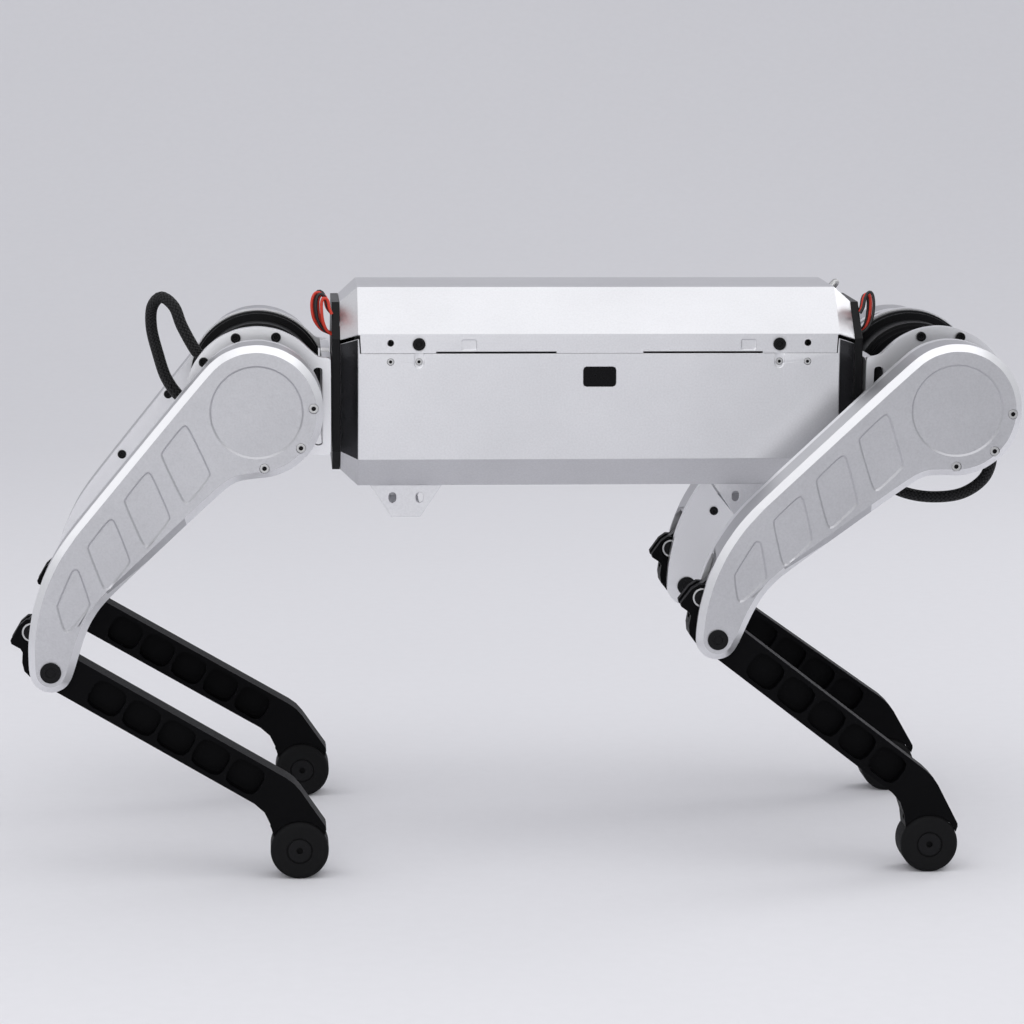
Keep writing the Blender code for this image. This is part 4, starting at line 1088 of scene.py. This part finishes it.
class ROBOT_OT_motors(bpy.types.Operator):
    """Turn the hip, knee and abduction motors"""

    bl_idname = "robot.motors"
    bl_label = "Motors"

    def execute(self, context):
        for leg in map(Leg, LEGS):
            self.hip_motor(leg)
            self.motor_rim(leg)
            self.knee_motor(leg)
            self.abduction_motor(leg)
        return {"FINISHED"}

    def turned(self, leg, name, radius, outer, inner):
        """A round blank on the axis of the hip, left in edit mode."""
        return rod(name, radius, leg.on_hip(0, 0, outer), leg.on_hip(0, 0, inner), LARGE_ROUND)

    def hip_motor(self, leg):
        """A stepped can with grooves, a ribbed rear cap and the hub through the yoke."""
        node = f"{leg.name}_hip_motor"
        inner, hub_end = leg.reach("hip_motor")
        radius = half_height(node)
        outer = leg.reach("hip_yoke")[1] - HIP_SEAT
        piece = self.turned(leg, f"{node}_finish", radius, outer, inner + HIP_CAP)
        step(piece, leg.outwards, radius - HIP_HUB_RADIUS, hub_end - outer)
        steps(piece, -leg.outwards, HIP_CAP_STEPS)
        ease(piece, HIP_EDGE)
        stand_for(piece, node, finish("black_anodised"))

    def motor_rim(self, leg):
        """The motor's mounting rim behind the yoke's ring, cut straight beside the yoke's plate."""
        outer = leg.reach("hip_yoke")[1] - RIM_SEAT
        piece = self.turned(leg, f"{leg.name}_motor_rim", RIM_RADIUS, outer, outer - RIM_WIDTH)
        steps(piece, -leg.outwards, RIM_STEPS)
        bpy.ops.mesh.select_all(action="SELECT")
        flat = leg.on_hip(RIM_FLAT, 0.0, 0.0)
        bpy.ops.mesh.bisect(plane_co=flat, plane_no=(leg.to_case, 0.0, 0.0), use_fill=True, clear_outer=True)
        ease(piece, RIM_EDGE)
        bore = half_height(f"{leg.name}_hip_motor") + RIM_ROOM
        sunk(piece, [self.turned(leg, "cutter", bore, outer + PROUD, outer - RIM_BORE_DEPTH)])
        close(piece, finish("black_anodised"), f"{leg.name}_hip")

    def knee_motor(self, leg):
        """A grey can with a flange ring against the thigh."""
        node = f"{leg.name}_knee_motor"
        inner, outer = leg.reach("knee_motor")
        inwards = -leg.outwards
        piece = self.turned(leg, f"{node}_finish", half_height(node), outer, outer - KNEE_FLANGE)
        steps(piece, inwards, KNEE_NECK_STEPS)
        pick(piece, faces=end_face(piece, inwards))
        bpy.ops.transform.resize(value=(KNEE_CAN_SCALE, 1.0, KNEE_CAN_SCALE), center_override=leg.hip)
        step(piece, inwards, 0.0, outer - inner - KNEE_ALL_BUT_CAN)
        steps(piece, inwards, KNEE_CAP_STEPS)
        ease(piece, KNEE_EDGE)
        stand_for(piece, node, finish("grey_housing"))

    def abduction_motor(self, leg):
        """A plain can inside the case, with a neck through the end plate."""
        node = f"{leg.name}_abduction_motor"
        low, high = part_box(node)
        radius, length = half_height(node), high.x - low.x
        ahead = Vector((-leg.to_case, 0.0, 0.0))
        back = (low + high) / 2 - ahead * length / 2
        piece = rod(f"{node}_finish", radius, back, back + ahead * ABDUCTION_CAN, PIN_ROUND)
        step(piece, ahead, radius - ABDUCTION_NECK_RADIUS, length - ABDUCTION_CAN)
        ease(piece, ABDUCTION_EDGE)
        stand_for(piece, node, finish("black_anodised"))


class ROBOT_OT_knees_feet(bpy.types.Operator):
    """Turn the knee pins, the lever bearings and the rubber feet"""

    bl_idname = "robot.knees_feet"
    bl_label = "Knees and Feet"

    def execute(self, context):
        for leg in map(Leg, LEGS):
            self.knee_pin(leg)
            self.lever_pin(leg)
            self.foot(leg)
        return {"FINISHED"}

    def ends(self, leg, node):
        """The middles of a node's inner and outer end."""
        low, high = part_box(node)
        middle = (low + high) / 2
        half = leg.outwards * (high.y - low.y) / 2
        return middle - half, middle + half

    def off_axis(self, face, point):
        """How far a face's middle is from the line across the robot through a point."""
        away = face.center - point
        return math.hypot(away.x, away.z)

    def spool(self, leg, node, waist, head, rows, edge):
        """A pin with a head at each end, whose faces are stepped, left in edit mode."""
        inner, outer = self.ends(leg, node)
        radius = half_height(node)
        piece = rod(f"{node}_finish", radius, inner, inner + leg.outwards * head, PIN_ROUND)
        step(piece, leg.outwards, radius - waist, (outer - inner).length - 2 * head)
        step(piece, leg.outwards, 0.0, SLIVER)
        pick(piece, faces=end_face(piece, leg.outwards))
        scale = radius / waist
        bpy.ops.transform.resize(value=(scale, 1.0, scale), center_override=outer)
        step(piece, leg.outwards, 0.0, head - SLIVER)
        for way in (leg.outwards, -leg.outwards):
            steps(piece, way, rows)
        ease(piece, edge)
        return piece

    def knee_pin(self, leg):
        """A black shaft with a cap and a socket at each end."""
        node = f"{leg.name}_knee_pin"
        piece = self.spool(leg, node, KNEE_PIN_WAIST, KNEE_PIN_HEAD, KNEE_PIN_STEPS, KNEE_PIN_EDGE)
        stand_for(piece, node, finish("black_anodised"))

    def lever_pin(self, leg):
        """A bearing race with a black shield at each end of the push rod's pin."""
        node = f"{leg.name}_lever_pin"
        piece = self.spool(leg, node, LEVER_PIN_WAIST, LEVER_PIN_HEAD, LEVER_PIN_STEPS, LEVER_PIN_EDGE)
        stand_for(piece, node, finish("turned_steel"))
        inner, shield = self.ends(leg, node)[0], half_height(node) - RACE_WIDTH
        inlay(piece, finish("black_anodised"), lambda face: self.off_axis(face, inner) < shield)

    def foot(self, leg):
        """A puck with round edges, a groove round each face and a hub with a screw hole."""
        node = f"{leg.name}_foot"
        inner, outer = self.ends(leg, node)
        piece = rod(f"{node}_finish", FOOT_RADIUS, inner, outer, LARGE_ROUND)
        ease(piece, FOOT_ROUNDING, 4)
        for way in (leg.outwards, -leg.outwards):
            steps(piece, way, FOOT_STEPS)
        ease(piece, FOOT_EDGE, 2, FOOT_EDGE_TURN)
        stand_for(piece, node, finish("black_rubber"))
        hub = finish("black_anodised")
        inlay(piece, hub, lambda face: FOOT_HUB[0] < self.off_axis(face, inner) < FOOT_HUB[1])


class ROBOT_OT_stage(bpy.types.Operator):
    """Lay the floor and backdrop, and set the lamps and the camera"""

    bl_idname = "robot.stage"
    bl_label = "Stage"

    def execute(self, context):
        stage = context.scene.robot_stage
        self.backdrop()
        self.lamps(context, stage)
        self.camera(context, stage)
        context.scene.view_settings.view_transform = "Standard"
        return {"FINISHED"}

    def backdrop(self):
        """A floor that bends up into a wall behind the robot."""
        deselect()
        bpy.ops.mesh.primitive_plane_add(size=FLOOR_SIZE, location=(0.0, 0.0, 0.0))
        floor = bpy.context.active_object
        floor.name = "backdrop"
        bpy.ops.object.mode_set(mode="EDIT")
        pick(floor, edges=lambda edge: all(vertex.co.y > 0.0 for vertex in edge.verts))
        bpy.ops.mesh.extrude_region_move(TRANSFORM_OT_translate={"value": (0.0, 0.0, WALL_HEIGHT)})
        pick(floor, edges=lambda edge: len(edge.link_faces) == 2)
        bpy.ops.mesh.bevel(offset=WALL_BEND, segments=24, affect="EDGES")
        bpy.ops.object.mode_set(mode="OBJECT")
        bpy.ops.object.shade_smooth()
        floor.data.materials.append(finish("studio_paper"))

    def lamps(self, context, stage):
        """Soft lamps overhead, beside the camera, behind and on the left, and an even sky."""
        lamps = (
            ("key", (0.2, -0.9, 3.0), (4.5, 2.6), stage.key_power),
            ("fill", (-1.0, -4.2, 1.6), (3.0, 2.4), stage.fill_power),
            ("rim", (2.6, 1.8, 2.4), (1.6, 1.6), stage.fill_power * RIM_SHARE),
            ("edge", (-2.55, -0.2, 2.1), (1.2, 1.8), stage.edge_power),
        )
        for name, place, size, power in lamps:
            light = bpy.data.lights.new(name, "AREA")
            light.shape = "RECTANGLE"
            light.size, light.size_y = size
            light.energy = power
            lamp = bpy.data.objects.new(name, light)
            lamp.location = place
            lamp.visible_camera = False
            aim = LAMP_AIM - Vector(place)
            lamp.rotation_euler = aim.to_track_quat("-Z", "Y").to_euler()
            context.scene.collection.objects.link(lamp)
        world = bpy.data.worlds.new("studio")
        world.use_nodes = True
        sky = world.node_tree.nodes["Background"]
        sky.inputs["Color"].default_value = SKY_COLOUR
        sky.inputs["Strength"].default_value = stage.sky
        context.scene.world = world

    def camera(self, context, stage):
        """A camera turned right, then down, then over."""
        lens = bpy.data.cameras.new("camera")
        lens.sensor_width = SENSOR_WIDTH
        lens.lens = stage.focal_pixels / IMAGE_WIDTH * SENSOR_WIDTH
        lens.clip_end = 100.0
        camera = bpy.data.objects.new("camera", lens)
        right, down, over = stage.camera_turn
        level = Matrix.Rotation(-right, 4, "Z") @ Matrix.Rotation(math.pi / 2 - down, 4, "X")
        camera.matrix_world = Matrix.Translation(stage.camera_place) @ level @ Matrix.Rotation(over, 4, "Z")
        context.scene.collection.objects.link(camera)
        context.scene.camera = camera


class ROBOT_PT_panel(bpy.types.Panel):
    """The robot's sizes, colours and operators"""

    bl_idname = "ROBOT_PT_panel"
    bl_label = "Robot"
    bl_space_type = "VIEW_3D"
    bl_region_type = "UI"
    bl_category = "Robot"

    def draw(self, context):
        for group in GROUPS:
            settings = getattr(context.scene, group)
            box = self.layout.box()
            for name in settings.bl_rna.properties.keys():
                if name not in ("rna_type", "name"):
                    box.prop(settings, name)
        for operator in OPERATORS:
            self.layout.operator(operator.bl_idname)


GROUPS = {"robot_sizes": RobotSizes, "robot_colours": RobotColours, "robot_stage": RobotStage}
OPERATORS = (
    ROBOT_OT_stage,
    ROBOT_OT_cables,
    ROBOT_OT_case,
    ROBOT_OT_legs,
    ROBOT_OT_motors,
    ROBOT_OT_knees_feet,
)
CLASSES = (*GROUPS.values(), *OPERATORS, ROBOT_PT_panel)


def register():
    for cls in CLASSES:
        bpy.utils.register_class(cls)
    for name, group in GROUPS.items():
        setattr(bpy.types.Scene, name, PointerProperty(type=group))


def unregister():
    for name in GROUPS:
        delattr(bpy.types.Scene, name)
    for cls in reversed(CLASSES):
        bpy.utils.unregister_class(cls)


def main():
    register()
    bpy.ops.robot.stage()
    bpy.ops.robot.cables()
    bpy.ops.robot.dress_case()
    bpy.ops.robot.dress_legs()
    bpy.ops.robot.motors()
    bpy.ops.robot.knees_feet()
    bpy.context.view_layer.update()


if __name__ == "__main__":
    main()
